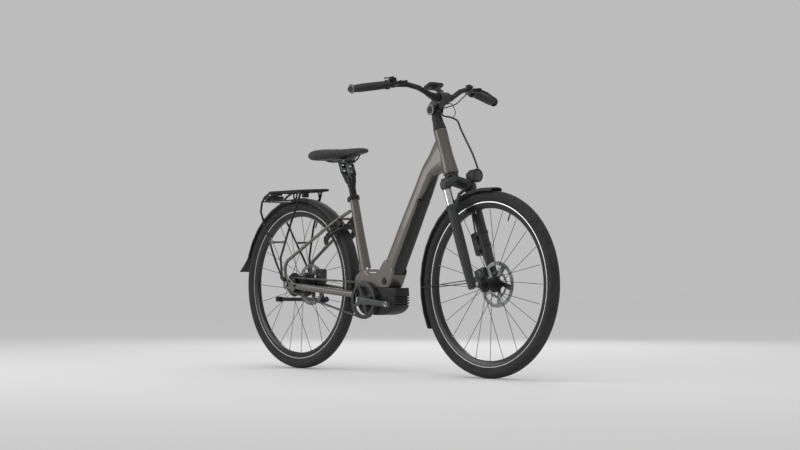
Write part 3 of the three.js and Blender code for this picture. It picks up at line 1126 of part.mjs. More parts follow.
function forkLowers() {
  const bodies = [];
  const bores = [];
  for (const [, side] of SIDES) {
    bodies.push(forkLeg(side), slab(strap(...FORK_DROPOUT_TOP, FORK_OFFSET, 0, FORK_DROPOUT_RADIUS, 4), side * forkInner,
      side * (forkInner + FORK_DROPOUT_THICKNESS)));
    bores.push(turnedZ(rodProfile(STANCHION_DIAMETER / 2 + GAP, STANCHION_FOOT - FORK_TRAVEL - OVERRUN,
      LEG_TOP + OVERRUN), 12).translate(LEG_OFFSET, side * legY, 0));
  }
  const arch = [...ARCH_POINTS.map(([x, y, z]) => at(x, -y, z)), ...ARCH_POINTS.map(([x, y, z]) => at(x, y, z)).reverse()];
  bodies.push(pipe(arch, ARCH_DIAMETER, 6), block(ARCH_TAB, ARCH_POINTS[3][0], 0, ARCH_TAB_Z));
  return cut(joined(bodies), ...bores, boreY(FORK_OFFSET, 0, AXLE_DIAMETER / 2 + GAP), guardRoom(FORK_OFFSET, 0));
}
piece(steering, 'fork_lowers', forkLowers(), BLACK_METAL);

function frontMudguard() {
  const angle = rad(STAY_WIRE_ANGLE);
  const rim = GUARD_RADIUS - GUARD_DROP + GUARD_SKIN / 2;
  const wires = SIDES.map(([, side]) => {
    const [x, y, z] = STAY_WIRE_FOOT;
    return pipe([at(WHEELBASE + rim * Math.cos(angle), side * (GUARD_WIDTH / 2 - GUARD_SKIN / 2),
      TYRE_RADIUS + rim * Math.sin(angle)), moved(steering, bike, at(x, side * y, z))], STAY_WIRE, 5);
  });
  return cut(joined([mudguard(WHEELBASE, FRONT_GUARD_ANGLES, 12), ...wires]),
    ...SIDES.map(([, side]) => moved(steering, bike, forkLeg(side, GAP))));
}
piece(bike, 'front_mudguard', frontMudguard(), BLACK_METAL);

// Brake control unit, strapped to the left fork leg
function absUnit() {
  const [x, y, z] = ABS_CENTRE;
  const [deep, wide, tall] = ABS_SIZE;
  const shoulder = tall / 2 - ABS_EDGE;
  const rings = [[-tall / 2, -ABS_NECK], [-shoulder, 0], [shoulder, 0], [tall / 2, -ABS_NECK]];
  const body = loft(rings.map(([rise, grow]) => rounded(deep + grow, wide + grow, 8, 4).map(
    ([u, v]) => at(x + u, y + v, z + rise))));
  const straps = ABS_STRAPS.map((rise) => new THREE.ExtrudeGeometry(
    strap(LEG_OFFSET, -legY, LEG_DIAMETER / 2 + ABS_STRAP_WALL, x, -y, wide / 2 + GAP, 4),
    { depth: ABS_STRAP_WIDTH, bevelEnabled: false }).rotateX(Math.PI).translate(0, 0, z + rise + ABS_STRAP_WIDTH / 2));
  return cut(joined([body, ...straps]), forkLeg(1, GAP));
}
piece(steering, 'abs_unit', absUnit(), BLACK_PLASTIC);

function headlight() {
  const radius = LAMP_DIAMETER / 2;
  const place = at(WHEELBASE + LAMP_PLACE[0], 0, TYRE_RADIUS + LAMP_PLACE[1]);
  const lamp = turnedY([[0, 0], ...LAMP_SHARES.map(([wide, share]) => [radius * wide, share * LAMP_LENGTH]),
    [0, LAMP_LENGTH]], 16).rotateZ(-Math.PI / 2).translate(place.x, 0, place.z);
  const foot = moved(steering, bike, at(LAMP_BRACKET_FOOT[0], 0, LAMP_BRACKET_FOOT[1]));
  const [footRadius, topRadius, half] = LAMP_BRACKET;
  const bracket = slab(strap(foot.x, foot.z, footRadius, WHEELBASE + LAMP_BRACKET_TOP[0],
    TYRE_RADIUS + LAMP_BRACKET_TOP[1], topRadius, 4), -half, half);
  const arch = moved(steering, bike, pipe([at(ARCH_POINTS[3][0], -THROUGH, ARCH_PEAK),
    at(ARCH_POINTS[3][0], THROUGH, ARCH_PEAK)], ARCH_DIAMETER + 4 * GAP, 6));
  const tab = moved(steering, bike, block(ARCH_TAB.map((size) => size + 2 * GAP), ARCH_POINTS[3][0], 0, ARCH_TAB_Z));
  return cut(joined([lamp, bracket]), arch, tab, guardRoom(WHEELBASE, TYRE_RADIUS));
}
piece(bike, 'headlight', headlight(), BLACK_PLASTIC);

// Stem
const coverLow = HEAD_LOW + HEAD_LENGTH + GAP;
const coverTop = HEAD_LOW + HEAD_LENGTH + COVER_HEIGHT;
const steererBore = STEERER_DIAMETER / 2 + GAP;
const coverRadius = COVER_TOP_DIAMETER / 2;
piece(steering, 'cable_cover', turnedZ([[steererBore, coverLow], [HEAD_WAIST_DIAMETER / 2, coverLow],
  [coverRadius + 3 * GAP, lerp(coverLow, coverTop, COVER_WAIST)], [coverRadius, coverTop], [steererBore, coverTop],
  [steererBore, coverLow]], 16), BLACK_PLASTIC);

const barrelLow = STEM_PIVOT - BARREL_DIAMETER / 2;
const stemLow = coverTop + GAP;
const stemNeck = (grow) => turnedZ([[0, stemLow - grow], [coverRadius + grow, stemLow - grow],
  [coverRadius - BARREL_NECK + grow, barrelLow + BARREL_NECK + grow], [0, barrelLow + BARREL_NECK + grow]], 16);
piece(steering, 'stem_base', cut(joined([stemNeck(0), rodY(0, STEM_PIVOT, BARREL_DIAMETER / 2, -CHEEK_INNER,
  CHEEK_INNER, 16), rodY(0, STEM_PIVOT, BARREL_BORE / 2 - 2 * GAP, -CHEEK_OUTER + BARREL_NECK,
  CHEEK_OUTER - BARREL_NECK)]), turnedZ(rodProfile(steererBore, stemLow - OVERRUN, STEERER_TOP + GAP), 12)),
BLACK_METAL);

const pivot = axisPoint(0, STEM_PIVOT);
const barX = pivot.x + STEM_REACH[0];
const barZ = pivot.z + STEM_REACH[1];
const stemStrap = (grow) => strap(pivot.x, pivot.z, BARREL_DIAMETER / 2 + grow, barX, barZ,
  STEM_EYE + grow, 6);
function stemArm() {
  const [lower, upper] = STEM_WAIST.map(([share, drop, radius]) => [lerp(pivot.x, barX, share),
    lerp(pivot.z, barZ, share) + drop, radius]);
  const waists = SIDES.map(([, side]) => slab(strap(...lower, ...upper, 4), side * CHEEK_INNER,
    side * (CHEEK_OUTER + OVERRUN)));
  const slot = rodY(pivot.x, pivot.z, BARREL_DIAMETER / 2 + STEM_HOLLOW, -CHEEK_INNER - GAP, CHEEK_INNER + GAP, 16);
  const neckHalf = coverRadius - BARREL_NECK + 3 * GAP;
  const swing = rad(STEM_SWING) + Math.atan2(neckHalf, BARREL_DIAMETER / 2 - BARREL_NECK);
  const swept = (radius, way) => Array.from({ length: 5 }, (_, i) => {
    const angle = rake - Math.PI / 2 + way * lerp(-swing, swing, i / 4);
    return new THREE.Vector2(pivot.x + radius * Math.cos(angle), pivot.z + radius * Math.sin(angle));
  });
  const [inner, outer] = STEM_SWING_RADII;
  const neckRoom = slab(new THREE.Shape([...swept(outer, 1), ...swept(inner, -1)]), -neckHalf, neckHalf);
  return cut(slab(stemStrap(0), -CHEEK_OUTER, CHEEK_OUTER), slot, neckRoom, ...waists,
    boreY(pivot.x, pivot.z, BARREL_BORE / 2), boreY(barX, barZ, BAR_CLAMP_DIAMETER / 2 + GAP, 16));
}
piece(bike, 'stem_arm', stemArm(), BLACK_METAL);

// Handlebar: its middle is clamped by the stem, and its ends carry the grips.
const barPoint = (side) => ([x, y, z]) => at(barX + x, side * y, barZ + z);
const barPath = [...BAR_POINTS.map(barPoint(-1)).reverse(), ...BAR_POINTS.slice(1).map(barPoint(1))];
const middle = BAR_POINTS.length - 1;
const handlebar = (grow) => loft(ringsAlong(barPath, (i) => {
  const size = (Math.abs(i - middle) <= 1 ? BAR_CLAMP_DIAMETER : BAR_DIAMETER) + grow;
  return rounded(size, size, 8);
}));
piece(bike, 'handlebar', handlebar(0), BLACK_METAL);

// A point beside a grip, by distances along it, forwards and upwards
const gripStart = barPoint(1)(BAR_POINTS[middle - 1]);
const gripEnd = barPoint(1)(BAR_POINTS[middle]);
const along = new THREE.Vector3().subVectors(gripEnd, gripStart).normalize();
const forward = at(along.y, -along.x, 0).normalize();
const upward = new THREE.Vector3().crossVectors(forward, along).normalize();
const gripLength = gripStart.distanceTo(gripEnd);
function beside(side, [far, ahead = 0, above = 0]) {
  const p = gripStart.clone().addScaledVector(along, far).addScaledVector(forward, ahead).addScaledVector(upward, above);
  return at(p.x, side * p.y, p.z);
}

for (const [name, side] of SIDES) {
  const rings = GRIP_SHARES.map(([share, wide, tall]) => rounded(GRIP_DIAMETER * tall, GRIP_DIAMETER * wide, 10).map(
    ([u, v]) => beside(side, [share * gripLength, (1 - wide) * GRIP_DIAMETER / 2 + v, u])));
  const bore = pipe([beside(side, [-OVERRUN]), beside(side, [gripLength + GAP])], BAR_DIAMETER + GRIP_CLEARANCE, 10);
  piece(bike, `grip_${name}`, cut(loft(rings), bore), RUBBER);
}

// Brake brackets and levers: each bracket clamps the bar inboard of its grip and carries the blade on an upright pin.
const onPin = (side, height, diameter, sides) => pipe([-height / 2, height / 2].map((rise) => beside(
  side, [...LEVER_PIN, rise])), diameter, sides);
const shelfTop = SHELF_HEIGHTS[1] + GAP;
const upright = (side, [far, ahead], height, diameter, sides) => pipe(
  [shelfTop, shelfTop + height].map((above) => beside(side, [far, ahead, above])), diameter, sides);
function brakeBracket(side) {
  const [from, to] = CONTROL_CLAMP;
  const clamp = pipe([beside(side, [from]), beside(side, [to])], BAR_DIAMETER + 2 * CONTROL_CLAMP_WALL, 8);
  const arm = loft(ringsAlong(BRACKET_POINTS.map((p) => beside(side, p)), (i) => rounded(BRACKET_WIDTHS[i],
    BRACKET_WIDTHS[i], 6, 3)));
  const master = pipe(MASTER_POINTS.map((p) => beside(side, p)), MASTER_DIAMETER, 6);
  const shelf = loft(SHELF_HEIGHTS.map((rise) => SHELF_CORNERS.map(([far, ahead]) => beside(side, [far, ahead, rise]))));
  const well = side > 0 ? [upright(side, SWITCH_CENTRE, -BUTTON_WELL - GAP, BUTTON_DIAMETER + 4 * GAP, 8)] : [];
  return joined([cut(joined([clamp, arm, master, shelf]), handlebar(4 * GAP),
    onPin(side, LEVER_ROOM_HEIGHT, LEVER_ROOM_DIAMETER, 8), ...well),
  onPin(side, BRACKET_WIDTHS[BRACKET_WIDTHS.length - 1] * 0.8, LEVER_PIN_DIAMETER, 6)]);
}

function brakeLever(side) {
  const ahead = at(forward.x, side * forward.y, forward.z);
  const above = at(upward.x, side * upward.y, upward.z);
  const blade = loft(BLADE_STATIONS.map(([far, out, rise, thick, tall]) => rounded(thick, tall, 8, 3).map(
    ([u, v]) => beside(side, [far, out, rise]).addScaledVector(ahead, u).addScaledVector(above, v))));
  return cut(blade, onPin(side, LEVER_ROOM_HEIGHT, LEVER_PIN_DIAMETER + 4 * GAP, 8));
}
for (const [name, side] of SIDES) {
  piece(bike, `brake_bracket_${name}`, brakeBracket(side), BLACK_METAL);
  piece(bike, `brake_lever_${name}`, brakeLever(side), GREY_PAINT);
}

const stalk = pipe([SWITCH_CENTRE, PADDLE_CENTRE].map(([far, ahead]) => beside(-1, [far, ahead,
  shelfTop + SWITCH_HEIGHT / 2])), PADDLE_STALK - 2 * GAP, 6);
piece(bike, 'shift_lever', joined([upright(-1, SWITCH_CENTRE, SWITCH_HEIGHT, SWITCH_HUB, 12), stalk,
  upright(-1, PADDLE_CENTRE, SWITCH_HEIGHT, PADDLE_DIAMETER, 8)]), GREY_PAINT);
piece(bike, 'remote_button', upright(1, SWITCH_CENTRE, BUTTON_HEIGHT, BUTTON_DIAMETER, 8), GREY_PAINT);

// Display above the stem
function display() {
  const [deep, wide, thick] = DISPLAY_SIZE;
  const body = loft(DISPLAY_RINGS.map(([share, grow]) => rounded(deep + grow, wide + grow, 12, 6).map(
    ([u, v]) => at(u, v, share * thick)))).rotateY(-rad(DISPLAY_TILT));
  body.translate(barX + DISPLAY_PLACE[0], 0, barZ + DISPLAY_PLACE[1]);
  const [[topX, topZ, topRadius], [footX, footZ, footRadius]] = DISPLAY_FOOT;
  const foot = slab(strap(barX + topX, barZ + topZ, topRadius, barX + footX,
    barZ + footZ, footRadius, 4), -DISPLAY_FOOT_HALF, DISPLAY_FOOT_HALF);
  return cut(joined([body, foot]), slab(stemStrap(2 * GAP), -THROUGH, THROUGH));
}
piece(bike, 'display', display(), BLACK_PLASTIC);

// Brake hoses
function hose(points, steps) {
  const section = new THREE.Shape(rounded(HOSE_DIAMETER, HOSE_DIAMETER, 5).map(([u, v]) => new THREE.Vector2(u, v)));
  const route = new THREE.CatmullRomCurve3(points.map((p) => at(...p)));
  return new THREE.ExtrudeGeometry(section, { steps, extrudePath: route, bevelEnabled: false });
}
piece(steering, 'hose_upper', hose(HOSE_UPPER, 20), RUBBER);
piece(steering, 'hose_lower', hose(HOSE_LOWER, 6), RUBBER);

// Suspension seatpost: four pins form a parallelogram that carries the saddle clamp.
const onSeat = ([x, z]) => [SEAT_TOP_X + x, SEAT_TOP_HEIGHT + z];
const upperPin = ([x, z]) => onSeat([x + LINK_REACH[0], z + LINK_REACH[1]]);
const plateHalf = HEAD_PLATE_WIDTH / 2;
const pinEnd = plateHalf + LINK_CHEEK + 3 * GAP;
const pinRod = ([x, z]) => rodY(x, z, LINK_PIN / 2, -pinEnd, pinEnd, 8);
function seatpost() {
  const bodyTop = POST_SHOULDER + POST_BODY_HEIGHT;
  const tube = turnedZ([[0, -POST_INSERT], [POST_DIAMETER / 2, -POST_INSERT], [POST_DIAMETER / 2, POST_SHOULDER],
    [POST_BODY_DIAMETER / 2, POST_SHOULDER + POST_CHAMFER], [POST_BODY_DIAMETER / 2, bodyTop],
    [0, bodyTop + POST_CHAMFER]], 14);
  return joined([moved(seat, bike, tube), slab(outline(HEAD_PLATE, onSeat([0, 0])), -plateHalf, plateHalf, 3),
    pinRod(onSeat(PIN_FRONT)), pinRod(onSeat(PIN_REAR))]);
}
piece(bike, 'seatpost', seatpost(), BLACK_METAL);

function link(pin) {
  const ends = [onSeat(pin), upperPin(pin)];
  const [[x0, z0], [x1, z1]] = ends;
  const outerY = plateHalf + LINK_CHEEK + GAP;
  const gap = plateHalf + GAP;
  return cut(slab(strap(x0, z0, LINK_RADIUS, x1, z1, LINK_RADIUS), -outerY, outerY),
    ...ends.map(([x, z]) => rodY(x, z, LINK_HOLLOW, -gap, gap, 8)),
    ...ends.map(([x, z]) => boreY(x, z, LINK_PIN / 2 + 2 * GAP, 8)));
}
piece(bike, 'seatpost_link_front', link(PIN_FRONT), DARK_ALLOY);
piece(bike, 'seatpost_link_rear', link(PIN_REAR), DARK_ALLOY);

function saddleClamp() {
  const [front, rear] = [upperPin(PIN_FRONT), upperPin(PIN_REAR)];
  const margin = CLAMP_PLATE_MARGIN;
  const plate = slab(outline([[front[0] + margin, front[1] - CLAMP_PLATE_DROP, CLAMP_PLATE_DROP],
    [front[0] + margin, RAIL_HEIGHT, CLAMP_PLATE_DROP], [rear[0] - margin, RAIL_HEIGHT, CLAMP_PLATE_DROP],
    [rear[0] - margin, rear[1] - CLAMP_PLATE_DROP, CLAMP_PLATE_DROP],
    ...CLAMP_NOTCH.map(([x, z, corner]) => [rear[0] + x, rear[1] + z, corner])]), -plateHalf, plateHalf, 3);
  const grooves = SIDES.map(([, side]) => pipe([at(JAW_X - JAW_SIZE[0], side * RAIL_SPACING / 2, RAIL_HEIGHT),
    at(JAW_X + JAW_SIZE[0], side * RAIL_SPACING / 2, RAIL_HEIGHT)], RAIL_DIAMETER + 2 * GAP, 6));
  return cut(joined([plate, block(JAW_SIZE, JAW_X, 0, RAIL_HEIGHT + GAP), pinRod(front), pinRod(rear)]), ...grooves);
}
piece(bike, 'saddle_clamp', saddleClamp(), BRIGHT_ALLOY);

// Saddle: crowned, with drawn-in sides and a shallow channel along its middle
const saddleRise = SADDLE_TOP - SADDLE_BOTTOM;
const saddleX = (share) => SADDLE_REAR_X + share * SADDLE_LENGTH;
const underside = (share) => {
  const next = SADDLE_SHARES.findIndex(([station]) => station >= share);
  const [[from, , , low], [to, , , high]] = [SADDLE_SHARES[next - 1], SADDLE_SHARES[next]];
  return SADDLE_BOTTOM + saddleRise * lerp(low, high, (share - from) / (to - from));
};
const pad = loft(SADDLE_SHARES.map(([share, wide, top, low]) => {
  const half = SADDLE_SECTION_SHARES.map(([across, up]) => [across * wide * SADDLE_WIDTH / 2,
    SADDLE_BOTTOM + saddleRise * lerp(low, top, up)]);
  return [...half, ...half.map(([y, z]) => [-y, z]).reverse()].map(([y, z]) => at(saddleX(share), y, z));
}));
piece(bike, 'saddle_pad', pad, FOAM);

const base = loft(SADDLE_SHARES.slice(1, -1).map(([share, wide]) => {
  const half = SADDLE_SECTION_SHARES[0][0] * wide * SADDLE_WIDTH / 2 - BASE_INSET * wide;
  const top = underside(share) - GAP;
  return [[half, top], [-half, top], [-half, top - BASE_THICKNESS], [half, top - BASE_THICKNESS]].map(
    ([y, z]) => at(saddleX(share), y, z));
}));
const rails = SIDES.map(([, side]) => pipe(bent([
  at(saddleX(RAIL_REAR[0]), side * RAIL_REAR[1], underside(RAIL_REAR[0]) - RAIL_SINK),
  ...RAIL_STRAIGHT.map((x) => at(x, side * RAIL_SPACING / 2, RAIL_HEIGHT)),
  at(saddleX(RAIL_FRONT[0]), side * RAIL_FRONT[1], underside(RAIL_FRONT[0]) - RAIL_SINK)], RAIL_BEND),
RAIL_DIAMETER, 6));
piece(bike, 'saddle_base', joined([base, ...rails]), BLACK_PLASTIC);

export default group;
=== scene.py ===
"""The low-step electric bicycle in its paint, metal, rubber and plastic, on a pale studio floor."""

import json
import math

import bpy
from mathutils import Matrix, Vector


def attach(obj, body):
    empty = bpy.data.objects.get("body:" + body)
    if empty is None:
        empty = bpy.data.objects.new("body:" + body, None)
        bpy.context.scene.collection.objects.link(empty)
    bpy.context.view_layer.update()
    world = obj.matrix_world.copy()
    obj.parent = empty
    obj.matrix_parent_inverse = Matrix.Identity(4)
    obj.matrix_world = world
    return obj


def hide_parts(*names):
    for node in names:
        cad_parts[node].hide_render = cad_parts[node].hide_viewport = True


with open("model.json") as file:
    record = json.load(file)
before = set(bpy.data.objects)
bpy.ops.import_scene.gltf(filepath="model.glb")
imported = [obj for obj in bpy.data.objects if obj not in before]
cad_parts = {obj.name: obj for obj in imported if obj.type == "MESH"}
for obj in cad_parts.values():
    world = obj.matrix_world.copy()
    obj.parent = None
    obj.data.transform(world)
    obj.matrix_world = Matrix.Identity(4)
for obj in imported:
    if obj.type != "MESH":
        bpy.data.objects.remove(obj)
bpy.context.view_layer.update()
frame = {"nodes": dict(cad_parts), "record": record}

# Places are given in millimetres from the ground below the rear axle: X forward, Y to the left, Z up.
SHIFT = -561.98
WHEELBASE = 1168
AXLE_HEIGHT = 360
CRANK_AXLE = (485, 295)
RAKE = math.radians(20)
FORK_OFFSET = 54
LEG_Y = 66
LEG_OFFSET = 22
GRIP_INNER = (833, 222, 1142)
GRIP_OUTER = (801, 382, 1116)
GRIP_LENGTH = 165
STEM_PIVOT = 758
DOWN_TUBE_FOOT = (596, 390)
DOWN_TUBE_TURN = math.radians(60.57)
SIDES = (("left", 1), ("right", -1))
WELD = 1e-6
CAD_WELD = 1e-5
BEND_STEPS = 6

body_of_node = {node: body for body, nodes in frame["record"]["behaviour"]["bodies"].items() for node in nodes}


# Places

def at(x, y, z):
    return Vector(((x + SHIFT) / 1000, y / 1000, z / 1000))


def by_steering(x, y, z):
    """A place measured along and from the steering axis, level with the front axle."""
    base_x = WHEELBASE - FORK_OFFSET * math.cos(RAKE)
    base_z = AXLE_HEIGHT - FORK_OFFSET * math.sin(RAKE)
    return at(base_x + x * math.cos(RAKE) - z * math.sin(RAKE), y, base_z + x * math.sin(RAKE) + z * math.cos(RAKE))


def by_down_tube(along, y, ahead):
    """A place measured along the down tube from its foot, and ahead of its middle line."""
    turn = DOWN_TUBE_TURN
    return at(DOWN_TUBE_FOOT[0] + along * math.cos(turn) + ahead * math.sin(turn), y,
              DOWN_TUBE_FOOT[1] + along * math.sin(turn) - ahead * math.cos(turn))


def by_axle(x, y, z, wheel_x=0):
    return at(wheel_x + x, y, AXLE_HEIGHT + z)


grip_run = (Vector(GRIP_OUTER) - Vector(GRIP_INNER)).normalized()
grip_ahead = Vector((grip_run.y, -grip_run.x, 0)).normalized()
grip_up = grip_ahead.cross(grip_run).normalized()


def by_grip(side, far, ahead=0, above=0):
    x, y, z = Vector(GRIP_INNER) + grip_run * far + grip_ahead * ahead + grip_up * above
    return at(x, side * y, z)


def sided(vector, side):
    return Vector((vector.x, side * vector.y, vector.z))


# Making and settling pieces

def only(*pieces):
    bpy.ops.object.select_all(action="DESELECT")
    for piece in pieces:
        piece.select_set(True)
    bpy.context.view_layer.objects.active = pieces[0]


def settled(piece, name):
    only(piece)
    bpy.ops.object.transform_apply(location=True, rotation=True, scale=True)
    piece.name = name
    piece.data.name = name
    return piece


def modified(piece, kind, **settings):
    only(piece)
    modifier = piece.modifiers.new(kind.lower(), kind)
    for key, value in settings.items():
        setattr(modifier, key, value)
    bpy.ops.object.modifier_apply(modifier=modifier.name)
    return piece


def smoothed(piece, angle=40):
    only(piece)
    bpy.ops.object.shade_smooth_by_angle(angle=math.radians(angle))
    return piece


def outward(piece):
    only(piece)
    bpy.ops.object.mode_set(mode="EDIT")
    bpy.ops.mesh.select_all(action="SELECT")
    bpy.ops.mesh.remove_doubles(threshold=WELD)
    bpy.ops.mesh.normals_make_consistent(inside=False)
    bpy.ops.object.mode_set(mode="OBJECT")
    return piece


def united(pieces, name):
    only(*pieces)
    if len(pieces) > 1:
        bpy.ops.object.join()
    return settled(bpy.context.object, name)


def dressed(piece, look, body):
    piece.data.materials.clear()
    piece.data.materials.append(looks[look])
    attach(piece, body)
    return piece


def stands_for(piece, look, *nodes):
    dressed(piece, look, body_of_node[nodes[0]])
    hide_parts(*nodes)
    return piece


def copied(node, name):
    source = frame["nodes"][node]
    piece = bpy.data.objects.new(name, source.data.copy())
    bpy.context.collection.objects.link(piece)
    piece.matrix_world = source.matrix_world
    only(piece)
    bpy.ops.object.mode_set(mode="EDIT")
    bpy.ops.mesh.select_all(action="SELECT")
    bpy.ops.mesh.remove_doubles(threshold=CAD_WELD)
    bpy.ops.object.mode_set(mode="OBJECT")
    return piece


def edged(node, look, width=0.0006, angle=40):
    """A machined piece: flat faces joined, and its edges broken by a small bevel."""
    piece = copied(node, node + "_edged")
    bpy.ops.object.mode_set(mode="EDIT")
    bpy.ops.mesh.select_all(action="SELECT")
    bpy.ops.mesh.dissolve_limited(angle_limit=math.radians(1))
    bpy.ops.object.mode_set(mode="OBJECT")
    modified(piece, "BEVEL", width=width, segments=2, limit_method="ANGLE", angle_limit=math.radians(angle),
             use_clamp_overlap=True)
    smoothed(piece, angle)
    return stands_for(piece, look, node)


def cast(node, look, voxel, rounds, keep=0.4):
    """A moulded or welded piece: its corners and joints flow into each other."""
    piece = copied(node, node + "_cast")
    modified(piece, "REMESH", mode="VOXEL", voxel_size=voxel, use_smooth_shade=True)
    modified(piece, "SMOOTH", factor=0.5, iterations=rounds)
    modified(piece, "DECIMATE", ratio=keep)
    smoothed(piece, 60)
    return stands_for(piece, look, node)


def tube(points, radius, name, sides=3, bend=0.0):
    """A round tube through places, with its inner corners bent by the given radius."""
    path = [Vector(p) for p in points]
    if bend:
        rounded = [path[0]]
        for before, corner, after in zip(path, path[1:], path[2:]):
            reach = min(bend, (corner - before).length / 2, (after - corner).length / 2)
            start = corner + (before - corner).normalized() * reach
            end = corner + (after - corner).normalized() * reach
            for i in range(BEND_STEPS + 1):
                t = i / BEND_STEPS
                rounded.append(start * (1 - t) ** 2 + corner * 2 * t * (1 - t) + end * t * t)
        path = rounded + [path[-1]]
    curve = bpy.data.curves.new(name, "CURVE")
    curve.dimensions = "3D"
    spline = curve.splines.new("POLY")
    spline.points.add(len(path) - 1)
    for point, place in zip(spline.points, path):
        point.co = (*place, 1)
    curve.bevel_depth = radius
    curve.bevel_resolution = sides
    curve.use_fill_caps = True
    piece = bpy.data.objects.new(name, curve)
    bpy.context.collection.objects.link(piece)
    only(piece)
    bpy.ops.object.convert(target="MESH")
    return smoothed(outward(bpy.context.object), 50)


def flowing(points, count=24):
    """Places on a smooth curve through the given ones."""
    points = [Vector(p) for p in points]
    ends = [points[0] * 2 - points[1]] + points + [points[-1] * 2 - points[-2]]
    path = []
    for a, b, c, d in zip(ends, ends[1:], ends[2:], ends[3:]):
        for i in range(count):
            t = i / count
            path.append(0.5 * (2 * b + (c - a) * t + (2 * a - 5 * b + 4 * c - d) * t * t
                               + (3 * b - a - 3 * c + d) * t ** 3))
    return path + [points[-1]]


def plate(outlines, thickness, name):
    """A flat plate in the XY plane: the first outline is its edge, and the others are holes."""
    curve = bpy.data.curves.new(name, "CURVE")
    curve.dimensions = "2D"
    curve.fill_mode = "BOTH"
    curve.extrude = thickness / 2
    for outline in outlines:
        spline = curve.splines.new("POLY")
        spline.points.add(len(outline) - 1)
        for point, (x, y) in zip(spline.points, outline):
            point.co = (x, y, 0, 1)
        spline.use_cyclic_u = True
    piece = bpy.data.objects.new(name, curve)
    bpy.context.collection.objects.link(piece)
    only(piece)
    bpy.ops.object.convert(target="MESH")
    return smoothed(outward(bpy.context.object), 30)


def turns(count, start=0.0):
    return [2 * math.pi * i / count + start for i in range(count)]


def circle(radius, count=48, x=0.0, y=0.0):
    return [(x + radius * math.cos(a), y + radius * math.sin(a)) for a in turns(count)]


def arc(radius, start, end, steps):
    return [(radius * math.cos(start + (end - start) * i / steps), radius * math.sin(start + (end - start) * i / steps))
            for i in range(steps + 1)]


def turned(profile, name, axis="Y", place=(0, 0, 0), steps=64, sweep=(0, 360), closed=False, angle=30):
    """A turned piece: the profile, of [radius, height] in millimetres, is drawn by extruding and then spun."""
    bpy.ops.object.select_all(action="DESELECT")
    bpy.ops.mesh.primitive_plane_add(size=0.001)
    piece = bpy.context.object
    bpy.ops.object.mode_set(mode="EDIT")
    bpy.ops.mesh.select_mode(type="VERT")
    bpy.ops.mesh.select_all(action="SELECT")
    bpy.ops.mesh.merge(type="CENTER")
    points = [Vector((r / 1000, 0, h / 1000)) for r, h in profile]
    bpy.ops.transform.translate(value=points[0])
    for before, after in zip(points, points[1:] + (points[:1] if closed else [])):
        bpy.ops.mesh.extrude_region_move(TRANSFORM_OT_translate={"value": after - before})
    bpy.ops.mesh.select_all(action="SELECT")
    start, end = (math.radians(a) for a in sweep)
    bpy.ops.transform.rotate(value=-start, orient_axis="Z", center_override=(0, 0, 0))
    bpy.ops.mesh.spin(steps=steps, angle=end - start, center=(0, 0, 0), axis=(0, 0, 1))
    bpy.ops.mesh.select_all(action="SELECT")
    bpy.ops.mesh.remove_doubles(threshold=WELD)
    if sweep != (0, 360):
        bpy.ops.mesh.select_all(action="DESELECT")
        bpy.ops.mesh.select_mode(type="EDGE")
        bpy.ops.mesh.select_non_manifold()
        bpy.ops.mesh.edge_face_add()
    bpy.ops.mesh.select_mode(type="VERT")
    bpy.ops.mesh.select_all(action="SELECT")
    bpy.ops.mesh.normals_make_consistent(inside=False)
    bpy.ops.object.mode_set(mode="OBJECT")
    turn = {"X": Matrix.Rotation(math.pi / 2, 4, "Y"),
            "Y": Matrix.Rotation(math.pi / 2, 4, "X") @ Matrix.Scale(-1, 4, (0, 0, 1))}
    matrix = turn[axis] if isinstance(axis, str) else Vector(axis).to_track_quat("Z", "Y").to_matrix().to_4x4()
    piece.data.transform(Matrix.Translation(place) @ matrix)
    return smoothed(outward(settled(piece, name)), angle)


def gathered(source, places, name):
    """One piece made of copies of the source, one at each place."""
    copies = []
    for place in places:
        copy = bpy.data.objects.new(name, source.data.copy())
        copy.data.transform(place)
        bpy.context.collection.objects.link(copy)
        copies.append(copy)
    bpy.data.objects.remove(source)
    return united(copies, name)


def around(x, z, radius, y, angles):
    """Screw places on a circle about a cross axis, each facing the side that it is on."""
    return [(at(x + radius * math.cos(a), y, z + radius * math.sin(a)), (0, math.copysign(1, y), 0)) for a in angles]


def aimed(place, direction, length=1.0):
    turn = Vector(direction).to_track_quat("Z", "Y").to_matrix().to_4x4()
    return Matrix.Translation(place) @ turn @ Matrix.Diagonal((1, 1, length, 1))


RECESS_SHARE = 0.5
CHAMFER_SHARE = 0.12


def bolts(places, radius, height, name):
    """Socket-head screws: a head, a chamfer and a six-sided recess."""
    bpy.ops.object.select_all(action="DESELECT")
    bpy.ops.mesh.primitive_cylinder_add(vertices=20, radius=radius / 1000, depth=height / 1000,
                                        location=(0, 0, height / 2000))
    head = settled(bpy.context.object, name)
    bpy.ops.mesh.primitive_cylinder_add(vertices=6, radius=radius * RECESS_SHARE / 1000, depth=height / 1000,
                                        location=(0, 0, height / 1000))
    recess = settled(bpy.context.object, "recess")
    modified(head, "BEVEL", width=radius * CHAMFER_SHARE / 1000, segments=2, limit_method="ANGLE", angle_limit=1.0)
    modified(head, "BOOLEAN", operation="DIFFERENCE", object=recess, solver="EXACT")
    bpy.data.objects.remove(recess)
    smoothed(head, 35)
    return gathered(head, [aimed(place, axis) for place, axis in places], name)


# Finishes: each has its colour, sheen, a fine grain and a slow change of tone and gloss.
GRAIN_DEPTH = 0.0004
COAT_ROUGHNESS = 0.12


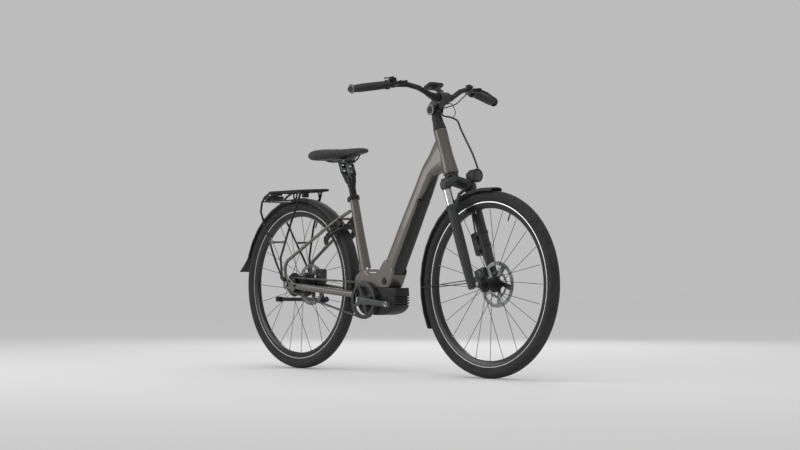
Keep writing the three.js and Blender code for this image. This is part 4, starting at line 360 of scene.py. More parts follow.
def finish(name, slot, colour, roughness, metallic=0.0, grain=900, depth=0.1, tone=0.12, patch=14, gloss=0.08,
           coat=0.0, stretch=(1, 1, 1), flakes=0.0):
    material = bpy.data.materials.new(name)
    material.use_nodes = True
    nodes, links = material.node_tree.nodes, material.node_tree.links
    shader = nodes["Principled BSDF"]
    place = nodes.new("ShaderNodeTexCoord")
    spread = nodes.new("ShaderNodeMapping")
    spread.inputs["Scale"].default_value = stretch
    links.new(place.outputs["Object"], spread.inputs["Vector"])

    def noise(scale, detail):
        node = nodes.new("ShaderNodeTexNoise")
        node.inputs["Scale"].default_value = scale
        node.inputs["Detail"].default_value = detail
        links.new(spread.outputs["Vector"], node.inputs["Vector"])
        return node.outputs["Fac"]

    slow, fine = noise(patch, 3), noise(grain, 2)
    ramp = nodes.new("ShaderNodeValToRGB")
    ramp.color_ramp.elements[0].position, ramp.color_ramp.elements[1].position = 0.3, 0.7
    ramp.color_ramp.elements[0].color = (*(c * (1 - tone) for c in colour), 1)
    ramp.color_ramp.elements[1].color = (*(min(1, c * (1 + tone)) for c in colour), 1)
    links.new(slow, ramp.inputs["Fac"])
    colour_out = ramp.outputs["Color"]
    if flakes:
        sparkle = nodes.new("ShaderNodeValToRGB")
        sparkle.color_ramp.elements[0].position, sparkle.color_ramp.elements[1].position = 0.52, 0.7
        sparkle.color_ramp.elements[1].color = (flakes, flakes * 0.95, flakes * 0.9, 1)
        links.new(fine, sparkle.inputs["Fac"])
        added = nodes.new("ShaderNodeMixRGB")
        added.blend_type = "ADD"
        added.inputs["Fac"].default_value = 1
        links.new(colour_out, added.inputs["Color1"])
        links.new(sparkle.outputs["Color"], added.inputs["Color2"])
        colour_out = added.outputs["Color"]
    links.new(colour_out, shader.inputs["Base Color"])
    sheen = nodes.new("ShaderNodeMapRange")
    sheen.inputs["To Min"].default_value = roughness - gloss
    sheen.inputs["To Max"].default_value = roughness + gloss
    links.new(slow, sheen.inputs["Value"])
    links.new(sheen.outputs["Result"], shader.inputs["Roughness"])
    bump = nodes.new("ShaderNodeBump")
    bump.inputs["Strength"].default_value = depth
    bump.inputs["Distance"].default_value = GRAIN_DEPTH
    links.new(fine, bump.inputs["Height"])
    links.new(bump.outputs["Normal"], shader.inputs["Normal"])
    shader.inputs["Metallic"].default_value = metallic
    shader.inputs["Coat Weight"].default_value = coat
    shader.inputs["Coat Roughness"].default_value = COAT_ROUGHNESS
    looks[name] = material
    slots[name] = slot


looks, slots = {}, {}
finish("taupe metallic", "taupe_paint", (0.128, 0.115, 0.101), 0.38, 0.7, grain=2600, depth=0.05, tone=0.06, patch=5,
       gloss=0.04, coat=0.35, flakes=0.035)
finish("black anodised", "black_metal", (0.018, 0.018, 0.019), 0.42, 0.6, grain=1800, depth=0.12, tone=0.25, patch=30)
finish("satin graphite", "black_metal", (0.034, 0.035, 0.036), 0.45, 0.35, grain=1900, depth=0.12, tone=0.16, patch=20)
finish("black gloss rim", "black_metal", (0.014, 0.014, 0.015), 0.3, 0.5, grain=1500, depth=0.05, tone=0.2, patch=22,
       gloss=0.05, coat=0.2)
finish("cast motor", "black_metal", (0.016, 0.016, 0.017), 0.56, 0.35, grain=1100, depth=0.3, tone=0.25, patch=28)
finish("matt plastic", "black_plastic", (0.015, 0.015, 0.016), 0.6, 0.0, grain=1500, depth=0.3, tone=0.2, patch=24)
finish("satin plastic", "black_plastic", (0.013, 0.013, 0.014), 0.44, 0.0, grain=1900, depth=0.12, tone=0.18, patch=18)
finish("dark glass", "black_plastic", (0.006, 0.007, 0.009), 0.08, 0.0, grain=900, depth=0.0, tone=0.1, patch=9,
       gloss=0.02, coat=1.0)
finish("dark alloy", "dark_alloy", (0.075, 0.082, 0.08), 0.36, 0.8, grain=2000, depth=0.1, tone=0.12, patch=26)
finish("bright alloy", "bright_alloy", (0.55, 0.56, 0.57), 0.28, 0.95, grain=1600, depth=0.08, tone=0.08, patch=40)
finish("ground steel", "steel", (0.22, 0.225, 0.23), 0.34, 0.95, grain=2400, depth=0.15, tone=0.15, patch=60)
finish("oiled chain", "steel", (0.09, 0.087, 0.083), 0.38, 0.9, grain=1500, depth=0.15, tone=0.35, patch=90)
finish("hard chrome", "steel", (0.62, 0.63, 0.65), 0.1, 1.0, grain=900, depth=0.0, tone=0.04, patch=20, gloss=0.03)
finish("tyre rubber", "tyre_rubber", (0.021, 0.02, 0.0195), 0.82, 0.0, grain=700, depth=0.5, tone=0.3, patch=18)
finish("soft rubber", "rubber", (0.02, 0.02, 0.0205), 0.74, 0.0, grain=1200, depth=0.35, tone=0.2, patch=30)
# The spiral sleeve is a real wrap, but its grey, lighter than the hose, is a painted highlight
finish("hose wrap with painted highlight", "rubber", (0.07, 0.07, 0.072), 0.45, 0.0, grain=1400, depth=0.15, tone=0.2, patch=40)
finish("saddle cover", "saddle_foam", (0.019, 0.019, 0.0205), 0.52, 0.0, grain=1900, depth=0.22, tone=0.16, patch=12)
finish("seam thread", "saddle_foam", (0.03, 0.03, 0.031), 0.7, 0.0, grain=2600, depth=0.3, tone=0.2, patch=60)
finish("red lens", "red_lens", (0.22, 0.008, 0.01), 0.12, 0.0, grain=500, depth=0.2, tone=0.15, patch=50, coat=0.8)
finish("grey paint", "grey_paint", (0.13, 0.133, 0.136), 0.4, 0.5, grain=1700, depth=0.1, tone=0.08, patch=30)


# Wheels

TREAD_STEP = 2
TREAD_INNER_RADIUS = 0.3405
TREAD_LANES = (3, 12, 18, 22.1, 24)
BLOCK_GAP = 0.0022
GROOVE_DEPTH = 0.0024
SPOKES = 24
SPOKE_END = 297
SPOKE_RADIUS = 0.0011
NIPPLE_RADIUS = 0.0021
NIPPLE_LENGTH = 0.014
VALVE_TURN = math.radians(67.5)


def wheel_look(name, wheel_x, flange, flange_y):
    """A tyre with slanting blocks, a rim with bright edges, and crossed spokes with nipples."""
    centre = by_axle(0, 0, 0, wheel_x)
    half = [(311, 9), (313, 11.1), (319, 11.2), (326, 17.5), (333, 22.8), (340, 25), (346.5, 23.8), (352, 20.4),
            (356.4, 15.6), (359, 9), (360, 3)]
    tyre = turned(half + [(r, -y) for r, y in reversed(half)], f"{name}_tyre_tread", place=centre,
                  steps=360 // TREAD_STEP, closed=True, angle=60)
    only(tyre)
    bpy.ops.object.mode_set(mode="EDIT")
    bpy.ops.mesh.select_all(action="DESELECT")
    bpy.ops.mesh.select_mode(type="FACE")
    bpy.ops.object.mode_set(mode="OBJECT")
    for face in tyre.data.polygons:
        across = face.center - centre
        step = int(math.degrees(math.atan2(across.z, across.x)) % 360 / TREAD_STEP + 0.01)
        lane = sum(abs(across.y) * 1000 > edge for edge in TREAD_LANES)
        shift = 0 if across.y > 0 else 2
        face.select = across.length > TREAD_INNER_RADIUS and (step + lane + shift) % 4 == 0
    bpy.ops.object.mode_set(mode="EDIT")
    bpy.ops.mesh.inset(thickness=BLOCK_GAP, depth=0, use_individual=True)
    bpy.ops.mesh.extrude_region_shrink_fatten(TRANSFORM_OT_shrink_fatten={"value": -GROOVE_DEPTH})
    bpy.ops.object.mode_set(mode="OBJECT")
    stands_for(smoothed(tyre, 38), "tyre rubber", f"{name}_tyre")

    half = [(317, 13.4), (317, 11.6), (309, 11.4), (306, 9), (306, 3)]
    inside = [(293, 6.5), (295.5, 9.5), (303, 12.6)]
    rim = turned(half + [(r, -y) for r, y in reversed(half)] + [(r, -y) for r, y in reversed(inside)] + inside,
                 f"{name}_rim_hoop", place=centre, steps=120, closed=True, angle=25)
    stands_for(rim, "black gloss rim", f"{name}_rim")
    edge = [(318.9, 12.3), (319.2, 12.9), (318.6, 13.9), (315.4, 13.95), (314.6, 13.5)]
    for side_name, side in SIDES:
        ring = turned([(r, side * y) for r, y in edge], f"{name}_rim_edge_{side_name}", place=centre, steps=120)
        modified(ring, "SOLIDIFY", thickness=0.0003, offset=0)
        dressed(ring, "bright alloy", f"{name}_wheel")

    spokes, nipples = [], []
    foot_radius = flange - 4
    for i, rim_turn in enumerate(turns(SPOKES)):
        side = 1 if i % 2 == 0 else -1
        lean = 1 if (i // 2) % 2 == 0 else -1
        hub_turn = rim_turn + lean * math.pi / 6
        foot = by_axle(foot_radius * math.cos(hub_turn), side * (flange_y + lean * 2),
                       foot_radius * math.sin(hub_turn), wheel_x)
        end = by_axle(SPOKE_END * math.cos(rim_turn), side * 1.6, SPOKE_END * math.sin(rim_turn), wheel_x)
        seat = end + (foot - end).normalized() * NIPPLE_LENGTH
        spokes.append(aimed(foot, end - foot, (end - foot).length))
        nipples.append(aimed(seat, end - seat))
    bpy.ops.object.select_all(action="DESELECT")
    bpy.ops.mesh.primitive_cylinder_add(vertices=8, radius=SPOKE_RADIUS, depth=1, location=(0, 0, 0.5))
    rods = smoothed(gathered(settled(bpy.context.object, "spoke"), spokes, f"{name}_spokes"), 50)
    dressed(rods, "black anodised", f"{name}_wheel")
    bpy.ops.mesh.primitive_cylinder_add(vertices=8, radius=NIPPLE_RADIUS, depth=NIPPLE_LENGTH,
                                        location=(0, 0, NIPPLE_LENGTH / 2))
    ends = smoothed(gathered(settled(bpy.context.object, "nipple"), nipples, f"{name}_nipples"), 50)
    dressed(ends, "bright alloy", f"{name}_wheel")
    valve = tube([by_axle(r * math.cos(VALVE_TURN), 0, r * math.sin(VALVE_TURN), wheel_x) for r in (296, 262)], 0.0028,
                 f"{name}_valve")
    dressed(valve, "soft rubber", f"{name}_wheel")


wheel_look("front", WHEELBASE, 31, 26)
wheel_look("rear", 0, 51, 34)

front_hub = turned([(6.4, -46), (12, -46), (13.5, -44), (13.5, -40), (16, -38), (17, -30), (29, -28.6), (31, -27.4),
                    (31, -24.6), (29, -23.4), (18, -21), (15.5, -15), (14.5, 0), (15.5, 15), (18, 21), (29, 23.4),
                    (31, 24.6), (31, 27.4), (29, 28.6), (17, 30), (17, 46), (6.4, 46)], "front_hub_shell",
                   place=by_axle(0, 0, 0, WHEELBASE), closed=True)
stands_for(front_hub, "black anodised", "front_hub")
rear_hub = turned([(6.4, -49.3), (18, -49.3), (21, -47), (21, -40), (30, -38.5), (49, -37), (51, -35.6), (51, -32.4),
                   (49, -31), (44, -29), (44, -12), (43, -11), (43, 11), (44, 12), (44, 29), (49, 31), (51, 32.4),
                   (51, 35.6), (49, 37), (34, 38.5), (30.5, 41), (30.5, 63), (6.4, 63)], "rear_hub_shell",
                  place=by_axle(0, 0, 0), closed=True)
stands_for(rear_hub, "black anodised", "rear_hub")


# Brake discs: a drilled braking band on curved arms
DISC_RADIUS = 0.0895
DISC_THICKNESS = 0.0018
DISC_ARMS = 5
DISC_HOLES = 40
DISC_HOLE_RADIUS = 0.0017
BAND_INNER_RADIUS = 0.0745
ARM_SLANT = 0.5


def disc(name, wheel_x, y, seat):
    outlines = [circle(DISC_RADIUS, 96)]
    inner = seat + 0.009
    span = 2 * math.pi / DISC_ARMS * 0.74
    for start in turns(DISC_ARMS):
        outlines.append(arc(BAND_INNER_RADIUS, start, start + span, 14)
                        + list(reversed(arc(inner, start + ARM_SLANT, start + ARM_SLANT + span * 0.62, 6))))
    for i, turn in enumerate(turns(DISC_HOLES)):
        radius = (0.0785, 0.082, 0.0855)[i % 3]
        outlines.append(circle(DISC_HOLE_RADIUS, 8, radius * math.cos(turn), radius * math.sin(turn)))
    outlines.append(circle(seat, 40))
    piece = plate(outlines, DISC_THICKNESS, name)
    piece.data.transform(Matrix.Translation(by_axle(0, y, 0, wheel_x)) @ Matrix.Rotation(math.pi / 2, 4, "X"))
    return settled(piece, name)


stands_for(disc("front_disc", WHEELBASE, 39.9, 0.0176), "ground steel", "front_rotor")
stands_for(disc("rear_disc", 0, 57.9, 0.0311), "ground steel", "rear_rotor")

# The slotted ring that the front wheel's speed sensor reads
SLOT_HALF_TURN = 0.03
SLOT_INNER_RADIUS = 0.0465
SLOT_OUTER_RADIUS = 0.0505
slot_corners = ((SLOT_INNER_RADIUS, -SLOT_HALF_TURN), (SLOT_OUTER_RADIUS, -SLOT_HALF_TURN),
                (SLOT_OUTER_RADIUS, SLOT_HALF_TURN), (SLOT_INNER_RADIUS, SLOT_HALF_TURN))
sensor_slots = [[(r * math.cos(a + t), r * math.sin(a + t)) for r, t in slot_corners] for a in turns(40)]
sensor_ring = plate([circle(0.052, 72)] + sensor_slots + [circle(0.043, 48)], 0.0012, "speed_sensor_ring")
sensor_ring.data.transform(Matrix.Translation(by_axle(0, 41.4, 0, WHEELBASE)) @ Matrix.Rotation(math.pi / 2, 4, "X"))
dressed(settled(sensor_ring, "speed_sensor_ring"), "dark alloy", "front_wheel")

# Screws that hold each disc to its hub
for name, wheel_x, radius, y in (("front", WHEELBASE, 24, 40.9), ("rear", 0, 37, 58.9)):
    disc_bolts = around(wheel_x, AXLE_HEIGHT, radius, y, turns(DISC_ARMS, 0.2))
    dressed(bolts(disc_bolts, 3.4, 2.6, f"{name}_disc_screws"), "ground steel", f"{name}_wheel")

# Frame and its welds
FRAME_VOXEL = 0.0024
FRAME_ROUNDS = 8
cast("main_frame", "taupe metallic", voxel=FRAME_VOXEL, rounds=FRAME_ROUNDS, keep=0.45)
cast("rear_triangle", "taupe metallic", voxel=0.0017, rounds=6)
edged("seat_clamp", "black anodised", 0.0006)
cast("battery_cover", "matt plastic", voxel=0.0012, rounds=4)
edged("battery_pack", "matt plastic", 0.002)
edged("charge_cap", "soft rubber", 0.0006)
edged("motor_unit", "cast motor", 0.0012, 45)
edged("motor_cover", "matt plastic", 0.0009, 25)

# Drive
edged("crank_spindle", "ground steel", 0.0008)
cast("crank_left", "dark alloy", voxel=0.0011, rounds=4)
cast("crank_right", "dark alloy", voxel=0.0011, rounds=4)
edged("chainring", "satin graphite", 0.0004)
edged("rear_sprocket", "ground steel", 0.0003)
edged("chain", "oiled chain", 0.0004, 60)
for node in ("rear_axle", "front_axle"):
    edged(node, "ground steel", 0.0006)
for node in ("rear_caliper", "front_caliper"):
    edged(node, "satin graphite", 0.003)

# Mudguards and rack
for node in ("rear_mudguard", "front_mudguard", "mudflap"):
    edged(node, "soft rubber" if node == "mudflap" else "matt plastic", 0.0003, 50)
edged("rear_rack", "black anodised", 0.0003, 75)
edged("tail_light", "satin plastic", 0.0015)
cast("ring_lock", "matt plastic", voxel=0.0011, rounds=4)
edged("lock_shackle", "ground steel", 0.0004, 80)
edged("kickstand_bracket", "black anodised", 0.0006)
edged("kickstand_leg", "black anodised", 0.0006, 50)

# Fork
cast("fork_crown", "satin graphite", voxel=0.0018, rounds=5)
cast("fork_lowers", "satin graphite", voxel=0.0018, rounds=6)
for side_name, side in SIDES:
    stanchion = turned([(0, 338), (16.1, 338), (16.1, 402), (0, 402)], f"stanchion_{side_name}",
                       axis=(-math.sin(RAKE), 0, math.cos(RAKE)),
                       place=by_steering(LEG_OFFSET, side * LEG_Y, 0), steps=48)
    dressed(stanchion, "hard chrome", "fork_upper")
cast("abs_unit", "satin graphite", voxel=0.0013, rounds=4)
edged("headlight", "matt plastic", 0.0008, 45)

# Stem, handlebar and controls
edged("cable_cover", "matt plastic", 0.0006, 30)
cast("stem_base", "satin graphite", voxel=0.0011, rounds=4)
cast("stem_arm", "satin graphite", voxel=0.0011, rounds=4)
cast("handlebar", "black anodised", voxel=0.0016, rounds=8)
for side_name, _ in SIDES:
    cast(f"grip_{side_name}", "soft rubber", voxel=0.0013, rounds=6, keep=0.5)
    cast(f"brake_bracket_{side_name}", "black anodised", voxel=0.0009, rounds=3)
    cast(f"brake_lever_{side_name}", "black anodised", voxel=0.0009, rounds=5)
edged("shift_lever", "satin plastic", 0.0006, 50)
edged("remote_button", "grey paint", 0.0006, 50)
edged("display", "matt plastic", 0.0012, 40)
edged("hose_lower", "soft rubber", 0.0003, 80)

# Stem: a bright ring round the dark end of its pivot, on each side
for side_name, side in SIDES:
    ring = turned([(13.6, 0), (21.2, 0), (21.6, 1.2), (20.4, 2.2), (15.2, 2.4), (14, 1.6), (13.6, -0.4)],
                  f"stem_ring_{side_name}", axis=(0, side, 0), place=by_steering(0, side * 24.6, STEM_PIVOT),
                  closed=True)
    dressed(ring, "grey paint", "cockpit")
    cap = turned([(0, 0.3), (6, 0.3), (7, 0.9), (12.8, 0.9), (13.8, 0.2)], f"stem_cap_{side_name}", axis=(0, side, 0),
                 place=by_steering(0, side * 24.7, STEM_PIVOT))
    dressed(cap, "matt plastic", "cockpit")

# Grips: a clamping ring and its bolt at the inner end, and a ring with a plug at the outer end
for side_name, side in SIDES:
    outward_run = sided(grip_run, side)
    collar = turned([(17.4, 0), (19, 0.5), (19.4, 2), (19.4, 10), (18.8, 11.6), (17, 12)],
                    f"grip_collar_{side_name}", axis=outward_run, place=by_grip(side, 1.5), steps=40)
    dressed(collar, "satin graphite", "cockpit")
    ring = turned([(8.5, 0.4), (9.5, 1.6), (16.5, 1.8), (18.6, 0.8), (19, -1.5), (18.2, -4)],
                  f"grip_end_ring_{side_name}", axis=outward_run, place=by_grip(side, GRIP_LENGTH + 4.2), steps=40)
    dressed(ring, "grey paint", "cockpit")
    plug = turned([(0, 0.6), (7, 0.6), (8.4, 0)], f"grip_plug_{side_name}", axis=outward_run,
                  place=by_grip(side, GRIP_LENGTH + 3.8), steps=32)
    dressed(plug, "matt plastic", "cockpit")
    clamp_bolt = bolts([(by_grip(side, 7.5, -14, 13.2), grip_up - grip_ahead)], 2.6, 2.4, f"grip_bolt_{side_name}")
    dressed(clamp_bolt, "ground steel", "cockpit")

# Thin cables from each brake bracket into the stem's pivot, and the display's cable from there to the hose
for side_name, side in SIDES:
    route = [by_grip(side, -24, 44, -4), by_grip(side, -74, 52, -14), at(915, side * 84, 1094),
             at(918, side * 46, 1072), by_steering(8, side * 13, STEM_PIVOT)]
    cable = tube(flowing(route, 8), 0.0023, f"brake_cable_{side_name}")
    dressed(cable, "soft rubber", "cockpit")
route = [by_steering(8, 5, STEM_PIVOT + 4), at(930, 13, 1076), at(950, 20, 1052), at(950, 24, 1034),
         at(940, 22, 1020)]
loop = tube(flowing(route, 8), 0.0016, "display_cable")
dressed(loop, "soft rubber", "cockpit")

# The hose bundle that bows out ahead of the head tube, wrapped in a spiral sleeve whose lighter grey is a painted
# highlight along the hose
UPPER_HOSE = ((32.4, 0, 755.5), (26.5, 1, 738), (33, 6, 718), (56, 17, 703), (76, 29, 680), (75, 38, 645),
              (81, 47, 588), (87, 54, 540), (84, 64, 496), (64, 84, 470), (30, 95, 462), (1, 87, 455), (-9, 69, 432))
hose_path = flowing([by_steering(*p) for p in UPPER_HOSE], 12)
hose = tube(hose_path, 0.0034, "hose_bundle", sides=2)
stands_for(hose, "soft rubber", "hose_upper")
WRAP_PITCH = 0.0085
WRAP_RADIUS = 0.0038
WRAP_STEPS = 8
WRAP_START = 30
WRAP_END = -26
wrap, turn = [], 0.0
side_way = Vector((0, 1, 0))
for here, after in zip(hose_path[WRAP_START:WRAP_END], hose_path[WRAP_START + 1:WRAP_END + 1]):
    run = after - here
    side_way = (side_way - run.normalized() * side_way.dot(run.normalized())).normalized()
    up_way = run.normalized().cross(side_way)
    steps = max(1, round(run.length / WRAP_PITCH * WRAP_STEPS))
    for i in range(steps):
        angle = turn + 2 * math.pi * run.length / WRAP_PITCH * i / steps
        wrap.append(here + run * i / steps + (side_way * math.cos(angle) + up_way * math.sin(angle)) * WRAP_RADIUS)
    turn += 2 * math.pi * run.length / WRAP_PITCH
sleeve = tube(wrap, 0.0013, "hose_spiral", sides=1)
dressed(sleeve, "hose wrap with painted highlight", "fork_upper")

# Headlight: a dark lens, the ring round it and a bright brow above
lamp_face = at(1104, 0, 782)
lens = turned([(0, 1.4), (10, 1.1), (18, 0.2), (22.4, -1.2), (23.4, -2.2)], "headlight_lens", axis="X",
              place=lamp_face)
dressed(lens, "dark glass", "fork_lower")
bezel = turned([(23.2, -3), (23.6, 0.4), (24.8, 1), (26.2, 0.2), (26.9, -2.4), (27, -9)], "headlight_bezel", axis="X",
               place=lamp_face)
dressed(bezel, "satin plastic", "fork_lower")
brow = turned([(24.8, -0.2), (25.4, 1.4), (26.6, 1.2), (27.4, -4), (26.9, -5)], "headlight_brow", axis="X",
              place=lamp_face, sweep=(62, 118), closed=True, steps=24)
dressed(brow, "bright alloy", "fork_lower")

# Tail light: its red lens faces backwards
bpy.ops.object.select_all(action="DESELECT")
bpy.ops.mesh.primitive_grid_add(x_subdivisions=3, y_subdivisions=14, size=1)
red = bpy.context.object
bpy.ops.object.mode_set(mode="EDIT")
bpy.ops.mesh.select_all(action="SELECT")
bpy.ops.transform.resize(value=(0.015, 0.07, 1))
bpy.ops.mesh.extrude_region_move(TRANSFORM_OT_translate={"value": (0, 0, 0.0016)})
bpy.ops.mesh.inset(thickness=0.0007, depth=0.0009, use_individual=True)
bpy.ops.object.mode_set(mode="OBJECT")
red.data.transform(Matrix.Translation(at(-204.6, 0, 735)) @ Matrix.Rotation(math.radians(-90 + 10.3), 4, "Y"))
dressed(smoothed(outward(settled(red, "tail_light_lens")), 25), "red lens", "frame")

# Rack: the pannier rail below its top on each side, with a bright bar and knob, and sleeves on the braces
RAIL_SLOPE = (1, 0, -0.018)
for side_name, side in SIDES:
    rail = tube([at(-196, side * 59, 722), at(-150, side * 62, 722), at(20, side * 62, 719), at(50, side * 59, 718)],
                0.0032, f"pannier_rail_{side_name}", bend=0.02)
    dressed(rail, "black anodised", "frame")
    bar = turned([(3.3, 0), (4.2, 1), (4.2, 137), (3.3, 138)], f"pannier_bar_{side_name}", axis=RAIL_SLOPE,
                 place=at(-128, side * 62, 721.6), steps=24)
    dressed(bar, "bright alloy", "frame")
    knob = turned([(4.3, 0), (5.6, 1), (5.6, 7), (4.3, 8)], f"pannier_knob_{side_name}", axis=RAIL_SLOPE,
                  place=at(4, side * 62, 719.3), steps=24)
    dressed(knob, "bright alloy", "frame")
    for end, x in (("rear", -122), ("front", -44)):
        sleeve = turned([(4.2, 0), (5.4, 1), (5.4, 27), (4.2, 28)], f"brace_sleeve_{end}_{side_name}", axis="X",
                        place=at(x, side * 72.6, 543), steps=24)
        dressed(sleeve, "grey paint", "frame")

# Brake calipers: a piston cap and two screws on each face
for name, body, x, z, faces in (("front", "fork_lower", 1083, 401, ((53, 1), (27, -1))),
                                ("rear", "frame", 68, 396, ((71, 1), (45, -1)))):
    for y, side in faces:
        label = f"{name}_caliper_{'left' if side > 0 else 'right'}"
        cap = turned([(0, 1.2), (4, 1.2), (5, 2), (9, 2), (11, 1.4), (12, -0.6)], f"{label}_cap", axis=(0, side, 0),
                     place=at(x, y, z), steps=40)
        dressed(cap, "dark alloy", body)
        corners = [(at(x - 17, y, z - 16), (0, side, 0)), (at(x + 17, y, z + 16), (0, side, 0))]
        dressed(bolts(corners, 3.2, 2.6, f"{label}_screws"), "ground steel", body)

# Motor: screws round its side cover
motor_screws = around(*CRANK_AXLE, 54, -41, [math.radians(t) for t in (20, 92, 164, 236, 308)])
dressed(bolts(motor_screws, 3.1, 2.2, "motor_cover_screws"), "ground steel", "frame")

# Battery: the lock's cylinder on the left of the down tube, below the head
lock_barrel = turned([(0, 0.4), (1.4, 0.4), (1.6, 1.6), (6.8, 1.8), (7.8, 1), (9.4, 1), (10, 0.2), (10, -4)],
                     "battery_lock", axis=(0, 1, 0), place=by_down_tube(330, 41, -4), steps=40)
dressed(lock_barrel, "ground steel", "frame")

# Screws of the frame
FRAME_SCREWS = ((at(475.6, -27.5, 424), 6.5, "bright alloy"), (at(54.4, -79.6, 356), 5.5, "black anodised"),
                (at(19.7, -79.6, 375), 4.5, "black anodised"))
for i, (place, radius, look) in enumerate(FRAME_SCREWS):
    dressed(bolts([(place, (0, -1, 0))], radius, 3, f"frame_screw_{i + 1}"), look, "frame")

# The bare thread at the end of each crank
CRANK_LENGTH = 170
CRANK_TURN = math.radians(4.8)
for side_name, side in SIDES:
    reach = -side * CRANK_LENGTH
    crank_end = at(CRANK_AXLE[0] + reach * math.cos(CRANK_TURN), side * 85.3,
                   CRANK_AXLE[1] - reach * math.sin(CRANK_TURN))
    eye = turned([(5.5, -0.5), (6, 0.9), (8, 1.1), (9.2, 0.2)], f"pedal_thread_{side_name}", axis=(0, side, 0),
                 place=crank_end)
    dressed(eye, "bright alloy", "crankset")

# Painted shade: a dark matt sheet over the down tube's front face, which is turned from the light, from the battery
# cover up to a point below the head tube
painted_shade = copied("main_frame", "down_tube_painted_shade")
modified(painted_shade, "REMESH", mode="VOXEL", voxel_size=FRAME_VOXEL, use_smooth_shade=True)
modified(painted_shade, "SMOOTH", factor=0.5, iterations=FRAME_ROUNDS)
PAINTED_SHADE_FOOT = 352
PAINTED_SHADE_TIP = 512
PAINTED_SHADE_HALF_WIDTH = 33
tip, foot = by_down_tube(PAINTED_SHADE_TIP, 0, 20), by_down_tube(PAINTED_SHADE_FOOT, 0, 20)
way_up = (tip - foot).normalized()
ahead = by_down_tube(0, 0, 1) - by_down_tube(0, 0, 0)
cuts = [(foot, -way_up), (by_down_tube(0, 0, 6), -ahead.normalized())]
for _, side in SIDES:
    edge = by_down_tube(PAINTED_SHADE_FOOT, side * PAINTED_SHADE_HALF_WIDTH, 20) - tip
    cuts.append((tip, edge.cross(ahead).normalized() * -side))
only(painted_shade)
bpy.ops.object.mode_set(mode="EDIT")
for place, way in cuts:
    bpy.ops.mesh.select_all(action="SELECT")
    bpy.ops.mesh.bisect(plane_co=place, plane_no=way, clear_outer=True)
bpy.ops.object.mode_set(mode="OBJECT")
modified(painted_shade, "SOLIDIFY", thickness=0.0009, offset=1)
smoothed(settled(painted_shade, "down_tube_painted_shade"), 40)
# The dark matt finish of this sheet is painted shade on the down tube's front
dressed(painted_shade, "matt plastic", "frame")

# Seatpost and saddle
cast("seatpost", "black anodised", voxel=0.0012, rounds=3)
edged("seatpost_link_front", "dark alloy", 0.001, 50)
edged("seatpost_link_rear", "dark alloy", 0.001, 50)
edged("saddle_clamp", "dark alloy", 0.0008, 50)
edged("saddle_base", "matt plastic", 0.0004, 50)
SADDLE_SWELL = 0.006
SADDLE_SEAM_HEIGHT = 904
COVER_VOXEL = 0.005
COVER_GLUE_DEPTH = 0.004
COVER_THICKNESS = 0.0065
SETTLING_FRAMES = 20


def swelled(piece, cap):
    """The pad's cover under its foam's pressure, held where it is glued to the shell."""
    modified(piece, "REMESH", mode="VOXEL", voxel_size=COVER_VOXEL, use_smooth_shade=True)
    modified(piece, "SMOOTH", factor=0.5, iterations=8)
    rest = [v.co.copy() for v in piece.data.vertices]
    lowest = min(v.z for v in rest)
    glued = piece.vertex_groups.new(name="glued")
    for i, v in enumerate(rest):
        normal = piece.data.vertices[i].normal
        glued.add([i], 1.0 if normal.z < -0.35 or v.z < lowest + COVER_GLUE_DEPTH else 0.0, "REPLACE")
    cloth = piece.modifiers.new("cloth", "CLOTH")
    cloth.settings.quality = 6
    cloth.settings.use_pressure = True
    cloth.settings.uniform_pressure_force = 4
    cloth.settings.effector_weights.gravity = 0
    cloth.settings.vertex_group_mass = "glued"
    cloth.settings.tension_stiffness = 60
    cloth.settings.compression_stiffness = 60
    cloth.settings.bending_stiffness = 20
    cloth.point_cache.frame_start, cloth.point_cache.frame_end = 1, SETTLING_FRAMES
    for step in range(1, SETTLING_FRAMES + 1):
        bpy.context.scene.frame_set(step)
    only(piece)
    bpy.ops.object.modifier_apply(modifier="cloth")
    bpy.context.scene.frame_set(1)
    for v, start in zip(piece.data.vertices, rest):
        moved = v.co - start
        if moved.length > cap:
            v.co = start + moved * (cap / moved.length)
    piece.vertex_groups.clear()
    modified(piece, "SMOOTH", factor=0.5, iterations=12)
    modified(piece, "DISPLACE", strength=COVER_THICKNESS, mid_level=0)
    return modified(piece, "SUBSURF", levels=1, render_levels=1)


saddle = swelled(copied("saddle_pad", "saddle_cushion"), SADDLE_SWELL)
smoothed(saddle, 80)
stands_for(saddle, "saddle cover", "saddle_pad")

# The seam around the saddle: the line where a level plane meets the cover
seam = bpy.data.objects.new("saddle_seam", saddle.data.copy())
bpy.context.collection.objects.link(seam)
only(seam)
bpy.ops.object.mode_set(mode="EDIT")
bpy.ops.mesh.select_all(action="SELECT")
bpy.ops.mesh.bisect(plane_co=at(0, 0, SADDLE_SEAM_HEIGHT), plane_no=(0.05, 0, 1), clear_inner=True, clear_outer=True)
bpy.ops.object.mode_set(mode="OBJECT")
bpy.ops.object.convert(target="CURVE")
seam = bpy.context.object
seam.data.bevel_depth = 0.0011
seam.data.bevel_resolution = 1
bpy.ops.object.convert(target="MESH")
seam = settled(smoothed(outward(bpy.context.object), 60), "saddle_seam")
dressed(seam, "seam thread", "saddle")

# Studio: a pale floor and soft light, with a backdrop in the tone of the unlit far floor
FLOOR_TONE = 0.7
SKY = 0.72
bpy.ops.object.select_all(action="DESELECT")
bpy.ops.mesh.primitive_plane_add(size=90, location=(0, 0, 0))
floor = bpy.context.object
floor.name = "studio_floor"
paper = bpy.data.materials.new("studio paper")
paper.use_nodes = True
paper_shader = paper.node_tree.nodes["Principled BSDF"]
paper_shader.inputs["Base Color"].default_value = (FLOOR_TONE, FLOOR_TONE, FLOOR_TONE, 1)
paper_shader.inputs["Roughness"].default_value = 0.9
paper_shader.inputs["Specular IOR Level"].default_value = 0.1
floor.data.materials.append(paper)

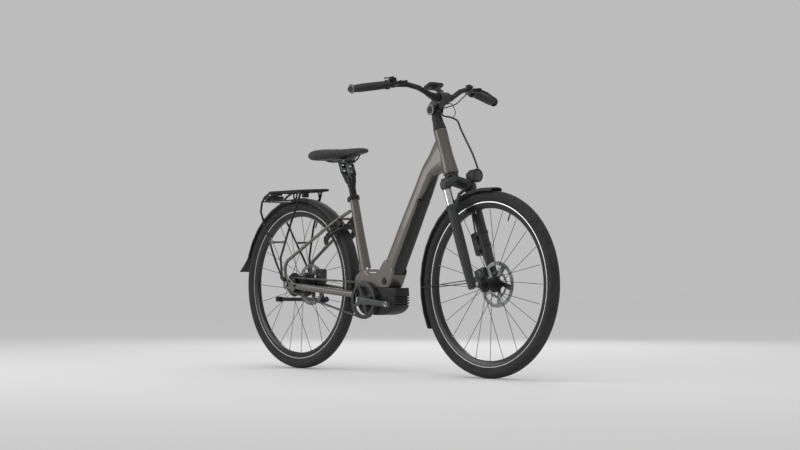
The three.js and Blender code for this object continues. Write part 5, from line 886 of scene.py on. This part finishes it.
world = bpy.data.worlds.new("studio")
bpy.context.scene.world = world
world.use_nodes = True
sky_nodes, sky_links = world.node_tree.nodes, world.node_tree.links
light_sky = sky_nodes["Background"]
light_sky.inputs["Color"].default_value = (1, 1, 1, 1)
light_sky.inputs["Strength"].default_value = SKY
seen_sky = sky_nodes.new("ShaderNodeBackground")
seen_sky.inputs["Color"].default_value = (1, 1, 1, 1)
seen_sky.inputs["Strength"].default_value = SKY * FLOOR_TONE
ray = sky_nodes.new("ShaderNodeLightPath")
seen = ray.outputs["Is Camera Ray"]
for kind in ("Is Glossy Ray", "Is Transmission Ray"):
    either = sky_nodes.new("ShaderNodeMath")
    either.operation = "MAXIMUM"
    sky_links.new(seen, either.inputs[0])
    sky_links.new(ray.outputs[kind], either.inputs[1])
    seen = either.outputs["Value"]
chosen = sky_nodes.new("ShaderNodeMixShader")
sky_links.new(seen, chosen.inputs["Fac"])
sky_links.new(light_sky.outputs["Background"], chosen.inputs[1])
sky_links.new(seen_sky.outputs["Background"], chosen.inputs[2])
sky_links.new(chosen.outputs["Shader"], sky_nodes["World Output"].inputs["Surface"])


def softbox(name, place, target, size, power):
    light = bpy.data.lights.new(name, "AREA")
    light.shape = "RECTANGLE"
    light.size, light.size_y = size
    light.energy = power
    lamp = bpy.data.objects.new(name, light)
    bpy.context.collection.objects.link(lamp)
    lamp.location = place
    lamp.rotation_euler = (Vector(target) - Vector(place)).to_track_quat("-Z", "Y").to_euler()


softbox("softbox_top", (0.6, -0.6, 3.6), (0, 0, 0.5), (3.2, 2.2), 34)
softbox("softbox_back", (-2.6, 3.0, 2.2), (0, 0, 0.6), (2.2, 1.6), 32)
softbox("softbox_side", (-2.4, -3.4, 1.6), (0, 0, 0.6), (1.6, 2.0), 34)

# Camera at the photograph's angle, from the middle of the wheelbase
camera_place = Vector((5.573, -4.843, 0.357))
camera_target = Vector((0.0498, 0.0315, 0.603))
camera_lens = bpy.data.cameras.new("camera")
camera_lens.lens = 81.18
camera_lens.sensor_width = 36
camera = bpy.data.objects.new("camera", camera_lens)
bpy.context.collection.objects.link(camera)
camera.location = camera_place
camera.rotation_euler = (camera_target - camera_place).to_track_quat("-Z", "Y").to_euler()
bpy.context.scene.camera = camera
bpy.context.scene.view_settings.view_transform = "Standard"
